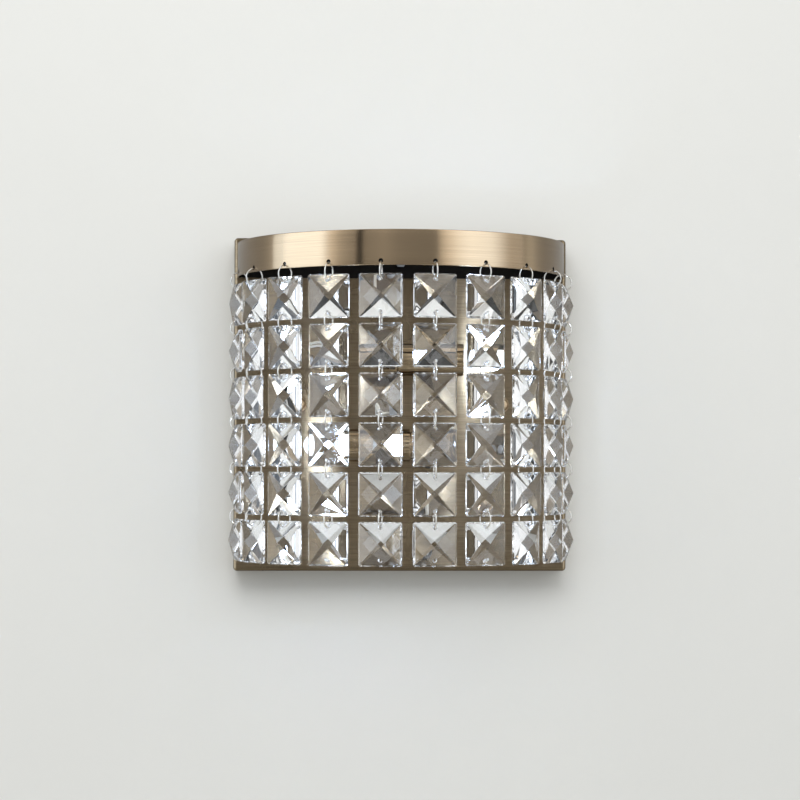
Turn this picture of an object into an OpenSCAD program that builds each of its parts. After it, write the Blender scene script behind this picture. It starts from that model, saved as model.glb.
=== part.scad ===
// Flush mount wall sconce: a square brushed brass back plate, a half-round brass cap and a
// half drum of faceted crystal strings round two plug-in capsule lamps.
// The wall plane is y = 0, the light faces -Y and +Z is up. The origin is the centre of the
// two wall screws in the strap behind the back plate.

/* [Back plate] */
// Width of the square back plate
plate_w = 225; // [222:1:250]
// Height of the square back plate
plate_h = 225; // [215:1:250]
// How far the face of the back plate stands off the wall
pan_depth = 24; // [23:0.5:34]
// Sheet thickness of the back plate
pan_wall = 1.2; // [0.8:0.1:1.6]
// Outer radius of the back plate's bent edges and corners
pan_bend_r = 2.5; // [2:0.1:4]

/* [Cap] */
// Outer radius of the half-round cap, which is how far the light reaches past its back plate
drum_r = 110.5; // [104:0.5:111]
// Height of the cap's band
band_h = 22.8; // [19:0.2:26]
// Sheet thickness of the cap's band
band_wall = 1.2; // [1:0.1:1.6]
// Distance from the back plate's top edge down to the top of the cap
cap_inset = 4.4; // [2:0.1:12]
// Sheet thickness of the flange that fixes the cap to the back plate
flange_wall = 1.2; // [0.8:0.1:2]
// How far the flange's edges stay inside the band's edges
flange_lift = 0.2; // [0.2:0.1:3]
// Distance of the outer cap screws from the middle one
cap_screw_pitch = 80; // [60:1:90]

/* [Crystal strings] */
// Number of strings round the cap
string_count = 10; // [8:1:10]
// Angle between neighbouring strings
string_pitch = 18; // [17:0.1:18]
// Number of crystals on each string
crystals_per_string = 6; // [4:1:6]
// Side of a square crystal
crystal_w = 28; // [24:0.5:30]
// Thickness of a crystal from point to point
crystal_t = 14; // [11:0.5:15]
// Thickness of a crystal's rim
rim_t = 1.6; // [1.2:0.1:2.4]
// Width of the bevel inside a crystal's rim
bevel_w = 1.2; // [0.8:0.1:2]
// How far that bevel rises
bevel_rise = 0.7; // [0.4:0.1:1.2]
// Cut across a crystal's corners
corner_cut = 1; // [0.6:0.1:2]
// Diameter of the two holes in a crystal
crystal_hole_d = 2.2; // [2.1:0.05:2.6]
// Distance of a crystal's holes from its edge
crystal_hole_inset = 4; // [3.8:0.1:4.4]
// Diameter of the holes in the cap's band
band_hole_d = 2; // [1.8:0.1:2.4]
// Height of those holes above the band's lower edge
band_hole_lift = 2.4; // [2:0.1:3]
// Diameter of a linking ring to the middle of its wire
ring_d = 11.4; // [11:0.1:12.4]
// Diameter of the ring's wire
wire_d = 0.9; // [0.7:0.05:1]
// Clear gap under the top ring where it hangs in the band
hang_gap = 0.4; // [0.2:0.05:0.5]

/* [Lampholders] */
// Distance of each lampholder's axis above or below the middle
holder_z = 28; // [24:0.5:34]
// Distance of the lampholder axes from the face of the back plate
holder_reach = 50; // [44:0.5:60]
// How far the closed end of the upper lampholder stands to the left of the middle
holder_back_x = 4.6; // [3:0.1:8]
// Outer diameter of a lampholder's brass cover
holder_d = 21.5; // [21:0.5:24]
// Length of a lampholder's brass cover
holder_l = 43.6; // [41:0.2:50]
// Sheet thickness of the cover
holder_wall = 0.8; // [0.6:0.1:1]
// Width of the bracket's lug round the fixing nipple
lug_w = 18; // [16:0.5:22]
// Sheet thickness of a lampholder bracket
bracket_wall = 1.5; // [1.2:0.1:2]
// Sideways length of a bracket's arm
arm_l = 15; // [14:0.5:18]
// Distance of a bracket's arm below the lampholder's axis
arm_drop = 6.6; // [6.5:0.1:6.9]
// Height of the bracket's foot on the back plate
foot_h = 14; // [12:0.5:18]

/* [Lamp sockets and capsule lamps] */
// Diameter of the ceramic socket
socket_d = 19; // [18.6:0.1:19.4]
// Length of the ceramic socket
socket_l = 26; // [25:0.5:28]
// Depth of the slot that takes the lamp's flat foot
socket_slot_depth = 8.5; // [7:0.5:10]
// Distance between the lamp's two pins
pin_pitch = 9; // [8.5:0.1:9.5]
// Diameter of the lamp's glass capsule
capsule_d = 13.8; // [12:0.2:15]
// Whole length of the lamp's glass
lamp_l = 48; // [46:0.5:52]
// Length of the lamp's pinched flat foot
pinch_l = 12; // [10:0.5:14]
// Thickness of the lamp's pinched flat foot
pinch_t = 4.4; // [3.6:0.1:5]
// Width of the lamp's pinched flat foot
pinch_w = 13; // [12:0.1:13.2]
// Diameter of a pin's wire
pin_wire_d = 0.8; // [0.6:0.05:0.9]
// Length of the lamp's pins
pin_l = 5; // [4:0.1:5.2]

/* [Wall strap and fixings] */
// Length of the wall strap
strap_l = 164; // [150:1:190]
// Width of the wall strap
strap_w = 24; // [20:0.5:30]
// Thickness of the wall strap
strap_t = 2; // [1.5:0.1:2.5]
// Distance between the two wall screws
wall_screw_pitch = 80; // [76:1:86]
// Width of the slots for the wall screws
slot_w = 5; // [4:0.1:6]
// Length of those slots from end to end
slot_l = 20; // [14:0.5:22]
// Distance between the two studs that hold the back plate
stud_pitch = 137; // [124:1:142]
// Diameter of those studs
stud_d = 4; // [4:0.5:5]
// Diameter of the domed nuts on the face
dome_d = 9; // [8:0.2:12]
// Straight height of a domed nut under its dome
dome_skirt = 3.4; // [3:0.1:5]
// Thickness of the washer under a domed nut
dome_washer_t = 0.8; // [0.5:0.1:1.2]

/* [Wiring] */
// Diameter of an insulated lead
lead_d = 1.8; // [1.6:0.1:1.9]
// How far the upper lead bush stands to the left of the middle
bush_x = 19; // [17:0.5:24]
// Bore of the lead bushes
bush_bore = 4.4; // [4.2:0.1:5]
// Length of the terminal block
block_l = 30; // [29:0.5:34]
// Width of the terminal block
block_w = 15; // [14:0.5:18]
// How far the terminal block stands off the strap
block_h = 13.5; // [13:0.5:15]
// Distance between the terminal block's ways
way_pitch = 9.5; // [9:0.1:10.5]

/* [Hidden] */

$fn = 48;
brass = "#8f7757";
black = "#1b1a19";
zinc = "#b9bcc0";
crystal_color = "#e8eef2";
ring_color = "#cfc7b8";
ceramic = "#efece4";
glass_color = "#fff6dc";
bright_brass = "#c9a24d";
sleeve_color = "#e4dfd2";

eps = 0.1;
thread_gap = 0.05;
tip_gap = 0.3;
seam_gap = 0.05;
hole_gap = 0.25;

face_y = -pan_depth;
cap_top = plate_h / 2 - cap_inset;
band_bottom = cap_top - band_h;
inner_r = drum_r - band_wall;
flange_bottom = band_bottom + flange_lift;
flange_top = cap_top - flange_lift;
cap_screw_z = (flange_top + flange_bottom) / 2;

string_r = drum_r - band_wall / 2;
wire_r = wire_d / 2;
ring_r = ring_d / 2;
band_hole_z = band_bottom + band_hole_lift;
hang_z = band_hole_z - band_hole_d / 2 + wire_r + hang_gap;
first_crystal_top = hang_z - ring_d + crystal_hole_inset;
row_pitch = crystal_w - 2 * crystal_hole_inset + ring_d;

m4_r = 2;
m4_nut_af = 7;
m4_nut_t = 3.2;
m4_head_r = 4;
m4_head_t = 2.6;
m3_r = 1.5;
m3_nut_af = 5.5;
m3_nut_t = 2.4;
m3_head_r = 2.8;
m3_head_t = 2;
screw_tail = 1.4;

stud_r = stud_d / 2;
lock_nut_af = 1.75 * stud_d;
lock_nut_t = 0.8 * stud_d;
washer_rim = 0.6;
washer_r = dome_d / 2 + washer_rim;
dome_base_y = face_y - dome_washer_t;
dome_y = dome_base_y - dome_skirt;
stud_tip_y = dome_y + tip_gap;

holder_y = face_y - holder_reach;
holder_r = holder_d / 2;
cover_x = -holder_back_x;
lug_x = cover_x - bracket_wall;
arm_top_z = holder_z - arm_drop;
arm_bottom_z = arm_top_z - bracket_wall;
arm_left_x = cover_x - arm_l;
lug_r = lug_w / 2;
arm_front_y = holder_y - lug_r;
foot_screw_inset = 3.8;
foot_screw_z = arm_bottom_z + foot_h - foot_screw_inset;

nipple_r = 5;
nipple_bore_r = 3.6;
nipple_nut_af = 12.4;
nipple_nut_t = 3;
nipple_bite = 4;
nipple_tail = 1.8;
cover_floor_x = cover_x + holder_wall;
socket_gap = 0.6;
socket_x = cover_floor_x + nipple_nut_t + socket_gap;
nipple_left_x = lug_x - nipple_nut_t - nipple_tail;
nipple_right_x = socket_x + nipple_bite;
socket_cavity_r = 7.4;
socket_cavity_l = 4;
socket_thread_l = nipple_bite + tip_gap;
cavity_right_x = socket_x + socket_thread_l + socket_cavity_l;
socket_right_x = socket_x + socket_l;
slot_floor_x = socket_right_x - socket_slot_depth;
contact_r = 1.7;
contact_bore_r = 1.25;
contact_floor = 0.6;
contact_gap = 0.1;
lamp_seat = 0.3;
lamp_x = slot_floor_x + lamp_seat;
slot_side_gap = 0.35;
capsule_r = capsule_d / 2;
glass_wall = 1;
shoulder_l = 4;
pin_r = pin_wire_d / 2;
pin_loop_r = 0.65;
pin_root = 4;
filament_r = 1.1;
filament_wire_r = 0.3;
stem_z = 3.6;
stem_l = 17;
filament_x = lamp_x + pinch_l + stem_l;
filament_l = 12;

upper_bush_x = -bush_x;
bush_wall = 1;
bush_lip = 1.1;
bush_neck_r = bush_bore / 2 + bush_wall;
bush_flange_r = bush_neck_r + bush_lip;
bush_foot_gap = 0.5;
bush_z = arm_bottom_z + foot_h + bush_flange_r + bush_foot_gap;
bush_flange_t = 1;
lead_r = lead_d / 2;

block_front_y = -strap_t - block_h;
way_lift = 6;
way_y = -strap_t - way_lift;
block_head_r = 2.4;
sleeve_r = 2.6;
sleeve_bore_r = 1.95;
sleeve_l = 11;
way_gap = 0.1;
clamp_z = 3.4;
clamp_r = 1.5;
clamp_head_r = 1.9;
clamp_recess = 1;
lead_side = 0.94;
lead_end_z = 1;
lead_clearance = 14;
lead_drape = 3;
earth_side = 24;
earth_screw_x = -earth_side;
tag_t = 0.8;
tag_r = 3.4;
tag_neck_l = 5;
barrel_r = 1.6;
barrel_l = 5;
barrel_floor = 1;
tag_foot_z = foot_screw_z - tag_neck_l - barrel_l;
tag_y = face_y + pan_wall + barrel_r;
block_top = block_w / 2;
live_way = -way_pitch;
neutral_way = way_pitch;
upper_foot_left_x = arm_left_x + foot_screw_inset;
upper_foot_right_x = cover_x - foot_screw_inset;

// A straight rod between two x values on the line through (y, z)
module rod_x(x0, x1, y, z, r)
    translate([x0, y, z]) rotate([0, 90, 0]) cylinder(h = x1 - x0, r = r);

// A straight rod between two y values on the line through (x, z)
module rod_y(y0, y1, x, z, r)
    translate([x, y1, z]) rotate([90, 0, 0]) cylinder(h = y1 - y0, r = r);

// A hexagonal nut on the y axis, from y0 to y0 + t
module nut_y(y0, t, x, z, across, bore)
    difference() {
        translate([x, y0 + t, z]) rotate([90, 0, 0])
            cylinder(h = t, r = across / sqrt(3), $fn = 6);
        rod_y(y0 - eps, y0 + t + eps, x, z, bore);
    }

// A hexagonal nut on the x axis, from x0 to x0 + t, with flats above and below
module nut_x(x0, t, y, z, across, bore)
    difference() {
        translate([x0, y, z]) rotate([0, 90, 0]) rotate([0, 0, 30])
            cylinder(h = t, r = across / sqrt(3), $fn = 6);
        rod_x(x0 - eps, x0 + t + eps, y, z, bore);
    }

// The upper half of a ball
module half_ball(r)
    rotate_extrude() intersection() {
        circle(r = r);
        square(r);
    }

// A box given by its lowest and highest corners
module span(low, high)
    translate(low) cube(high - low);

// Turns a piece of the upper lampholder into the lower one
module opposite()
    rotate([0, 180, 0]) children();

// A square tray with rounded front edges and corners, open at the wall
module tray(w, h, d, r) {
    for (x = [r - w / 2, w / 2 - r])
        for (z = [r - h / 2, h / 2 - r]) {
            translate([x, r - d, z]) sphere(r = r);
            rod_y(r - d, 0, x, z, r);
        }
    for (x = [r - w / 2, w / 2 - r])
        translate([x, r - d, r - h / 2]) cylinder(h = h - 2 * r, r = r);
    for (z = [r - h / 2, h / 2 - r])
        rod_x(r - w / 2, w / 2 - r, r - d, z, r);
    span([r - w / 2, -d, r - h / 2], [w / 2 - r, 0, h / 2 - r]);
    span([-w / 2, r - d, r - h / 2], [w / 2, 0, h / 2 - r]);
    span([r - w / 2, r - d, -h / 2], [w / 2 - r, 0, h / 2]);
}

module back_plate()
    color(brass) difference() {
        tray(plate_w, plate_h, pan_depth, pan_bend_r);
        translate([0, eps, 0])
            tray(plate_w - 2 * pan_wall, plate_h - 2 * pan_wall, pan_depth - pan_wall + eps,
                pan_bend_r - pan_wall);
        for (x = [-stud_pitch / 2, stud_pitch / 2])
            rod_y(face_y - eps, face_y + pan_wall + eps, x, 0, stud_r + hole_gap);
        for (x = [-cap_screw_pitch, 0, cap_screw_pitch])
            rod_y(face_y - eps, face_y + pan_wall + eps, x, cap_screw_z, m4_r + hole_gap);
        for (side = [1, -1]) {
            rod_y(face_y - eps, face_y + pan_wall + eps, side * upper_bush_x, side * bush_z,
                bush_neck_r + seam_gap);
            for (x = [upper_foot_left_x, upper_foot_right_x])
                rod_y(face_y - eps, face_y + pan_wall + eps, side * x, side * foot_screw_z,
                    m3_r + hole_gap);
        }
    }

// A slot through the strap that runs along x
module strap_slot(x)
    for (end = [slot_w / 2 - slot_l / 2, slot_l / 2 - slot_w / 2]) {
        rod_y(-strap_t - eps, eps, x + end, 0, slot_w / 2);
        span([x - slot_l / 2 + slot_w / 2, -strap_t - eps, -slot_w / 2],
            [x + slot_l / 2 - slot_w / 2, eps, slot_w / 2]);
    }

module wall_strap()
    color(zinc) difference() {
        union() {
            span([strap_w / 2 - strap_l / 2, -strap_t, -strap_w / 2],
                [strap_l / 2 - strap_w / 2, 0, strap_w / 2]);
            for (x = [strap_w / 2 - strap_l / 2, strap_l / 2 - strap_w / 2])
                rod_y(-strap_t, 0, x, 0, strap_w / 2);
        }
        for (x = [-wall_screw_pitch / 2, wall_screw_pitch / 2])
            strap_slot(x);
        for (x = [-stud_pitch / 2, stud_pitch / 2])
            rod_y(-strap_t - eps, eps, x, 0, stud_r + thread_gap);
        rod_y(-strap_t - eps, eps, earth_screw_x, 0, m4_r + thread_gap);
        rod_y(-strap_t - eps, eps, way_pitch / 2, 0, m3_r + thread_gap);
    }

module strap_studs()
    color(zinc) for (x = [-stud_pitch / 2, stud_pitch / 2])
        rod_y(stud_tip_y, 0, x, 0, stud_r);

module stud_lock_nuts()
    color(zinc) for (x = [-stud_pitch / 2, stud_pitch / 2])
        nut_y(-strap_t - lock_nut_t, lock_nut_t, x, 0, lock_nut_af, stud_r + thread_gap);

module dome_nut_washers()
    color(brass) for (x = [-stud_pitch / 2, stud_pitch / 2])
        difference() {
            rod_y(dome_base_y, face_y, x, 0, washer_r);
            rod_y(dome_base_y - eps, face_y + eps, x, 0, stud_r + hole_gap);
        }

module dome_nuts()
    color(brass) for (x = [-stud_pitch / 2, stud_pitch / 2])
        difference() {
            union() {
                rod_y(dome_y, dome_base_y, x, 0, dome_d / 2);
                translate([x, dome_y, 0]) rotate([90, 0, 0]) half_ball(dome_d / 2);
            }
            rod_y(dome_y, dome_base_y + eps, x, 0, stud_r + thread_gap);
        }

// The half of space in front of the back plate's face
module front_half(z0, z1)
    span([-drum_r - eps, face_y - drum_r - eps, z0], [drum_r + eps, face_y, z1]);

// A flat half disc against the back plate
module half_disc(r, z0, z1)
    intersection() {
        translate([0, face_y, z0]) cylinder(h = z1 - z0, r = r, $fn = 120);
        front_half(z0 - eps, z1 + eps);
    }

// Angle of string k from the front, to the right
function string_angle(k) = (k - (string_count + 1) / 2) * string_pitch;

// Places a piece at the foot of string k: x runs along the band, -y outwards
module at_string(k)
    translate([0, face_y, 0]) rotate([0, 0, string_angle(k)]) translate([0, -string_r, 0])
        children();

module cap_band()
    color(brass) difference() {
        half_disc(drum_r, band_bottom, cap_top);
        translate([0, face_y, band_bottom - eps])
            cylinder(h = band_h + 2 * eps, r = inner_r, $fn = 120);
        for (k = [1:string_count])
            at_string(k) rod_y(-band_wall, band_wall, 0, band_hole_z, band_hole_d / 2);
    }

module cap_flange() {
    half_w = sqrt(pow(inner_r, 2) - pow(flange_wall, 2)) - seam_gap;
    color(black) difference() {
        span([-half_w, face_y - flange_wall, flange_bottom], [half_w, face_y, flange_top]);
        for (x = [-cap_screw_pitch, 0, cap_screw_pitch])
            rod_y(face_y - flange_wall - eps, face_y + eps, x, cap_screw_z, m4_r + hole_gap);
    }
}

module cap_screws() {
    head_y = face_y + pan_wall;
    tip_y = face_y - flange_wall - m4_nut_t - screw_tail;
    color(zinc) for (x = [-cap_screw_pitch, 0, cap_screw_pitch]) {
        rod_y(tip_y, head_y + m4_head_t / 2, x, cap_screw_z, m4_r);
        rod_y(head_y, head_y + m4_head_t, x, cap_screw_z, m4_head_r);
    }
}

module cap_nuts()
    color(zinc) for (x = [-cap_screw_pitch, 0, cap_screw_pitch])
        nut_y(face_y - flange_wall - m4_nut_t, m4_nut_t, x, cap_screw_z, m4_nut_af,
            m4_r + thread_gap);

// One square crystal with a bevelled rim and a low pyramid on both faces, hung from the
// middle of its top edge
module crystal() {
    half = crystal_w / 2;
    cut = half - corner_cut;
    inner = half - bevel_w;
    rim = rim_t / 2;
    rise = rim + bevel_rise;
    outline = [[cut, half], [half, cut], [half, -cut], [cut, -half],
        [-cut, -half], [-half, -cut], [-half, cut], [-cut, half]];
    table = [[inner, inner], [inner, -inner], [-inner, -inner], [-inner, inner]];
    front_rim = [for (p = outline) [p[0], -rim, p[1]]];
    back_rim = [for (p = outline) [p[0], rim, p[1]]];
    front_table = [for (p = table) [p[0], -rise, p[1]]];
    back_table = [for (p = table) [p[0], rise, p[1]]];
    tips = [[0, -crystal_t / 2, 0], [0, crystal_t / 2, 0]];
    points = concat(front_rim, back_rim, front_table, back_table, tips);
    rim_faces = [for (i = [0:7]) [i, 8 + i, 8 + (i + 1) % 8, (i + 1) % 8]];
    front_corners = [for (i = [0:3]) [2 * i, 2 * i + 1, 16 + i]];
    front_bevels = [for (i = [0:3]) [2 * i + 1, (2 * i + 2) % 8, 16 + (i + 1) % 4, 16 + i]];
    front_facets = [for (i = [0:3]) [16 + i, 16 + (i + 1) % 4, 24]];
    back_corners = [for (i = [0:3]) [9 + 2 * i, 8 + 2 * i, 20 + i]];
    back_bevels = [for (i = [0:3]) [8 + (2 * i + 2) % 8, 9 + 2 * i, 20 + i, 20 + (i + 1) % 4]];
    back_facets = [for (i = [0:3]) [20 + (i + 1) % 4, 20 + i, 25]];
    faces = concat(rim_faces, front_corners, front_bevels, front_facets, back_corners,
        back_bevels, back_facets);
    translate([0, 0, -half]) difference() {
        polyhedron(points = points, faces = faces);
        for (z = [crystal_hole_inset - half, half - crystal_hole_inset])
            rod_y(-crystal_t, crystal_t, 0, z, crystal_hole_d / 2);
    }
}

module crystals(k)
    color(crystal_color) at_string(k)
        for (row = [0:crystals_per_string - 1])
            translate([0, 0, first_crystal_top - row * row_pitch]) crystal();

// A round wire ring that stands square to the band, hung from its topmost point
module ring()
    translate([0, 0, -ring_r]) rotate([0, 90, 0])
        rotate_extrude($fn = 40) translate([ring_r, 0]) circle(r = wire_r, $fn = 16);

module rings(k)
    color(ring_color) at_string(k)
        for (row = [0:crystals_per_string - 1])
            translate([0, 0, hang_z - row * row_pitch]) ring();

module holder_bracket() {
    foot_y = face_y - bracket_wall;
    color(brass) difference() {
        union() {
            span([arm_left_x, arm_front_y, arm_bottom_z], [cover_x, face_y, arm_top_z]);
            span([arm_left_x, foot_y, arm_bottom_z],
                [cover_x, face_y, arm_bottom_z + foot_h]);
            span([lug_x, arm_front_y, arm_bottom_z],
                [cover_x, holder_y + lug_r, holder_z]);
            rod_x(lug_x, cover_x, holder_y, holder_z, lug_r);
        }
        rod_x(lug_x - eps, cover_x + eps, holder_y, holder_z, nipple_r + hole_gap);
        for (x = [upper_foot_left_x, upper_foot_right_x])
            rod_y(foot_y - eps, face_y + eps, x, foot_screw_z, m3_r + hole_gap);
    }
}

module foot_screw(x) {
    head_y = face_y - bracket_wall;
    rod_y(head_y - m3_head_t / 2, face_y + pan_wall + tag_t + m3_nut_t + screw_tail, x,
        foot_screw_z, m3_r);
    rod_y(head_y - m3_head_t, head_y, x, foot_screw_z, m3_head_r);
}

module bracket_screws()
    color(zinc) for (x = [upper_foot_left_x, upper_foot_right_x]) {
        foot_screw(x);
        opposite() foot_screw(x);
    }

module bracket_nuts() {
    nut_y0 = face_y + pan_wall;
    color(zinc) {
        nut_y(nut_y0, m3_nut_t, upper_foot_left_x, foot_screw_z, m3_nut_af, m3_r + thread_gap);
        nut_y(nut_y0 + tag_t, m3_nut_t, upper_foot_right_x, foot_screw_z, m3_nut_af,
            m3_r + thread_gap);
        for (x = [upper_foot_left_x, upper_foot_right_x])
            opposite() nut_y(nut_y0, m3_nut_t, x, foot_screw_z, m3_nut_af, m3_r + thread_gap);
    }
}

module holder_cover()
    color(brass) difference() {
        rod_x(cover_x, cover_x + holder_l, holder_y, holder_z, holder_r);
        rod_x(cover_floor_x, cover_x + holder_l + eps, holder_y, holder_z,
            holder_r - holder_wall);
        rod_x(cover_x - eps, cover_floor_x + eps, holder_y, holder_z,
            nipple_r + hole_gap);
    }

module nipple()
    difference() {
        rod_x(nipple_left_x, nipple_right_x, holder_y, holder_z, nipple_r);
        rod_x(nipple_left_x - eps, nipple_right_x + eps, holder_y, holder_z, nipple_bore_r);
    }

module nipples()
    color(zinc) {
        nipple();
        opposite() nipple();
    }

module nipple_nut(x)
    nut_x(x, nipple_nut_t, holder_y, holder_z, nipple_nut_af, nipple_r + thread_gap);

module nipple_nuts()
    color(zinc) for (x = [lug_x - nipple_nut_t, cover_floor_x]) {
        nipple_nut(x);
        opposite() nipple_nut(x);
    }

module socket()
    color(ceramic) difference() {
        rod_x(socket_x, socket_right_x, holder_y, holder_z, socket_d / 2);
        rod_x(socket_x - eps, socket_x + socket_thread_l + eps, holder_y, holder_z,
            nipple_r + thread_gap);
        rod_x(socket_x + socket_thread_l, cavity_right_x, holder_y, holder_z,
            socket_cavity_r);
        for (z = [holder_z - pin_pitch / 2, holder_z + pin_pitch / 2])
            rod_x(cavity_right_x - eps, slot_floor_x + eps, holder_y, z,
                contact_r + contact_gap);
        span([slot_floor_x, holder_y - pinch_t / 2 - slot_side_gap,
                holder_z - pinch_w / 2 - slot_side_gap],
            [socket_right_x + eps, holder_y + pinch_t / 2 + slot_side_gap,
                holder_z + pinch_w / 2 + slot_side_gap]);
    }

module contacts()
    color(bright_brass) for (z = [holder_z - pin_pitch / 2, holder_z + pin_pitch / 2])
        difference() {
            rod_x(cavity_right_x, slot_floor_x - contact_gap, holder_y, z, contact_r);
            rod_x(cavity_right_x + contact_floor, slot_floor_x + eps, holder_y, z,
                contact_bore_r);
        }

module lamp_glass() {
    tube_x = lamp_x + pinch_l + shoulder_l;
    end_x = lamp_x + lamp_l - capsule_r;
    color(glass_color) difference() {
        union() {
            span([lamp_x, holder_y - pinch_t / 2, holder_z - pinch_w / 2],
                [tube_x, holder_y + pinch_t / 2, holder_z + pinch_w / 2]);
            rod_x(tube_x - shoulder_l, end_x, holder_y, holder_z, capsule_r);
            translate([end_x, holder_y, holder_z]) sphere(r = capsule_r);
        }
        rod_x(tube_x, end_x, holder_y, holder_z, capsule_r - glass_wall);
        translate([end_x, holder_y, holder_z]) sphere(r = capsule_r - glass_wall);
        for (z = [holder_z - pin_pitch / 2, holder_z + pin_pitch / 2])
            for (side = [-pin_loop_r, pin_loop_r])
                rod_x(lamp_x - eps, lamp_x + pin_root + seam_gap, holder_y + side, z,
                    pin_r + seam_gap);
        for (z = [holder_z - stem_z, holder_z + stem_z])
            rod_x(tube_x - shoulder_l, tube_x + eps, holder_y, z, filament_wire_r + seam_gap);
    }
}

// One looped pin: two wires joined by a half ring at the tip
module pin(z) {
    bend_x = lamp_x - pin_l + pin_loop_r;
    for (side = [-pin_loop_r, pin_loop_r])
        rod_x(bend_x, lamp_x + pin_root, holder_y + side, z, pin_r);
    translate([bend_x, holder_y, z]) rotate([0, 0, 90])
        rotate_extrude(angle = 180) translate([pin_loop_r, 0]) circle(r = pin_r);
}

module lamp_pins()
    color(zinc) for (z = [holder_z - pin_pitch / 2, holder_z + pin_pitch / 2])
        pin(z);

// The filament: a hairpin of coil along the lamp, held by two stems sealed in the foot
module filament()
    color(zinc) {
        for (z = [holder_z - stem_z, holder_z + stem_z]) {
            rod_x(lamp_x + pinch_l, filament_x + eps, holder_y, z, filament_wire_r);
            rod_x(filament_x, filament_x + filament_l, holder_y, z, filament_r);
        }
        translate([filament_x + filament_l, holder_y, holder_z - stem_z - filament_wire_r])
            cylinder(h = 2 * (stem_z + filament_wire_r), r = filament_r);
    }

module terminal_block()
    color("#e9e6dc") difference() {
        span([-block_l / 2, block_front_y, -block_w / 2], [block_l / 2, -strap_t, block_w / 2]);
        for (x = [-way_pitch, 0, way_pitch]) {
            translate([x, way_y, -block_w / 2 - eps])
                cylinder(h = block_w + 2 * eps, r = sleeve_r + way_gap);
            for (z = [-clamp_z, clamp_z])
                rod_y(block_front_y - eps, way_y, x, z, clamp_head_r + way_gap);
        }
        rod_y(block_front_y - eps, eps - strap_t, way_pitch / 2, 0, m3_r + hole_gap);
        rod_y(block_front_y - eps, block_front_y + m3_head_t, way_pitch / 2, 0,
            block_head_r + way_gap);
    }

module terminal_sleeves()
    color(bright_brass) for (x = [-way_pitch, 0, way_pitch])
        difference() {
            translate([x, way_y, -sleeve_l / 2]) cylinder(h = sleeve_l, r = sleeve_r);
            translate([x, way_y, -sleeve_l / 2 - eps])
                cylinder(h = sleeve_l + 2 * eps, r = sleeve_bore_r);
            for (z = [-clamp_z, clamp_z])
                rod_y(way_y - sleeve_r - eps, way_y, x, z, clamp_r + thread_gap);
        }

module terminal_screws()
    color(zinc) for (x = [-way_pitch, 0, way_pitch])
        for (z = [-clamp_z, clamp_z]) {
            rod_y(block_front_y + clamp_recess, way_y - lead_r - seam_gap, x, z, clamp_r);
            rod_y(block_front_y + clamp_recess, way_y - sleeve_r - seam_gap, x, z,
                clamp_head_r);
        }

module block_screw()
    color(zinc) {
        rod_y(block_front_y, 0, way_pitch / 2, 0, m3_r);
        rod_y(block_front_y, block_front_y + m3_head_t - seam_gap, way_pitch / 2, 0,
            block_head_r);
    }

module earth_screw()
    color(bright_brass) {
        rod_y(-strap_t - m4_head_t, 0, earth_screw_x, 0, m4_r);
        rod_y(-strap_t - m4_head_t, -strap_t, earth_screw_x, 0, m4_head_r);
    }

// A ring tag under the nut of the upper bracket, with its crimped barrel hanging down
module earth_tag() {
    plate_y = face_y + pan_wall;
    color(bright_brass) difference() {
        union() {
            rod_y(plate_y, plate_y + tag_t, upper_foot_right_x, foot_screw_z, tag_r);
            span([upper_foot_right_x - barrel_r, plate_y, tag_foot_z],
                [upper_foot_right_x + barrel_r, plate_y + tag_t, foot_screw_z]);
            translate([upper_foot_right_x, plate_y + barrel_r, tag_foot_z])
                cylinder(h = barrel_l, r = barrel_r);
        }
        rod_y(plate_y - eps, plate_y + tag_t + eps, upper_foot_right_x, foot_screw_z,
            m3_r + hole_gap);
        translate([upper_foot_right_x, plate_y + barrel_r, tag_foot_z - eps])
            cylinder(h = barrel_l + eps - barrel_floor, r = lead_r + seam_gap);
    }
}

module bush() {
    outer_y = face_y - bush_flange_t;
    inner_y = face_y + pan_wall + bush_flange_t;
    difference() {
        union() {
            rod_y(outer_y, inner_y, upper_bush_x, bush_z, bush_neck_r);
            rod_y(outer_y, face_y, upper_bush_x, bush_z, bush_flange_r);
            rod_y(face_y + pan_wall, inner_y, upper_bush_x, bush_z, bush_flange_r);
        }
        rod_y(outer_y - eps, inner_y + eps, upper_bush_x, bush_z, bush_bore / 2);
    }
}

module lead_bushes()
    color(black) {
        bush();
        opposite() bush();
    }

// Routes of the leads inside the light, by their turning points
function holder_stretch(side) = [
    [cavity_right_x - 0.2, holder_y, holder_z + side * pin_pitch / 2],
    [cavity_right_x - 2, holder_y, holder_z + side * pin_pitch / 2],
    [nipple_right_x, holder_y, holder_z + side * 1.7],
    [nipple_right_x - 6, holder_y, holder_z + side * 1.3],
    [nipple_left_x, holder_y, holder_z + side * 1.2],
    [nipple_left_x - 5, holder_y + 1, holder_z + side * 1.2],
    [upper_bush_x, holder_y + 11, bush_z + side * 1.1],
    [upper_bush_x, face_y - 8, bush_z + side * 1.1],
    [upper_bush_x, face_y + 3, bush_z + side * 1.1]
];

// The last stretch: over beside the block and down into the way at x, from the given side
function end_turn(x, side) = [
    [x + side * 9.6, way_y - 1, block_top - 2],
    [x + side * 8.6, way_y - 0.5, block_top + 4],
    [x + side * 4.8, way_y, block_top + 7],
    [x + side * 1.2, way_y, block_top + 5],
    [x, way_y, block_top + 1],
    [x, way_y, lead_end_z]
];
function lower_holder_stretch(side) = [for (p = holder_stretch(side)) [-p[0], p[1], -p[2]]];

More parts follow.
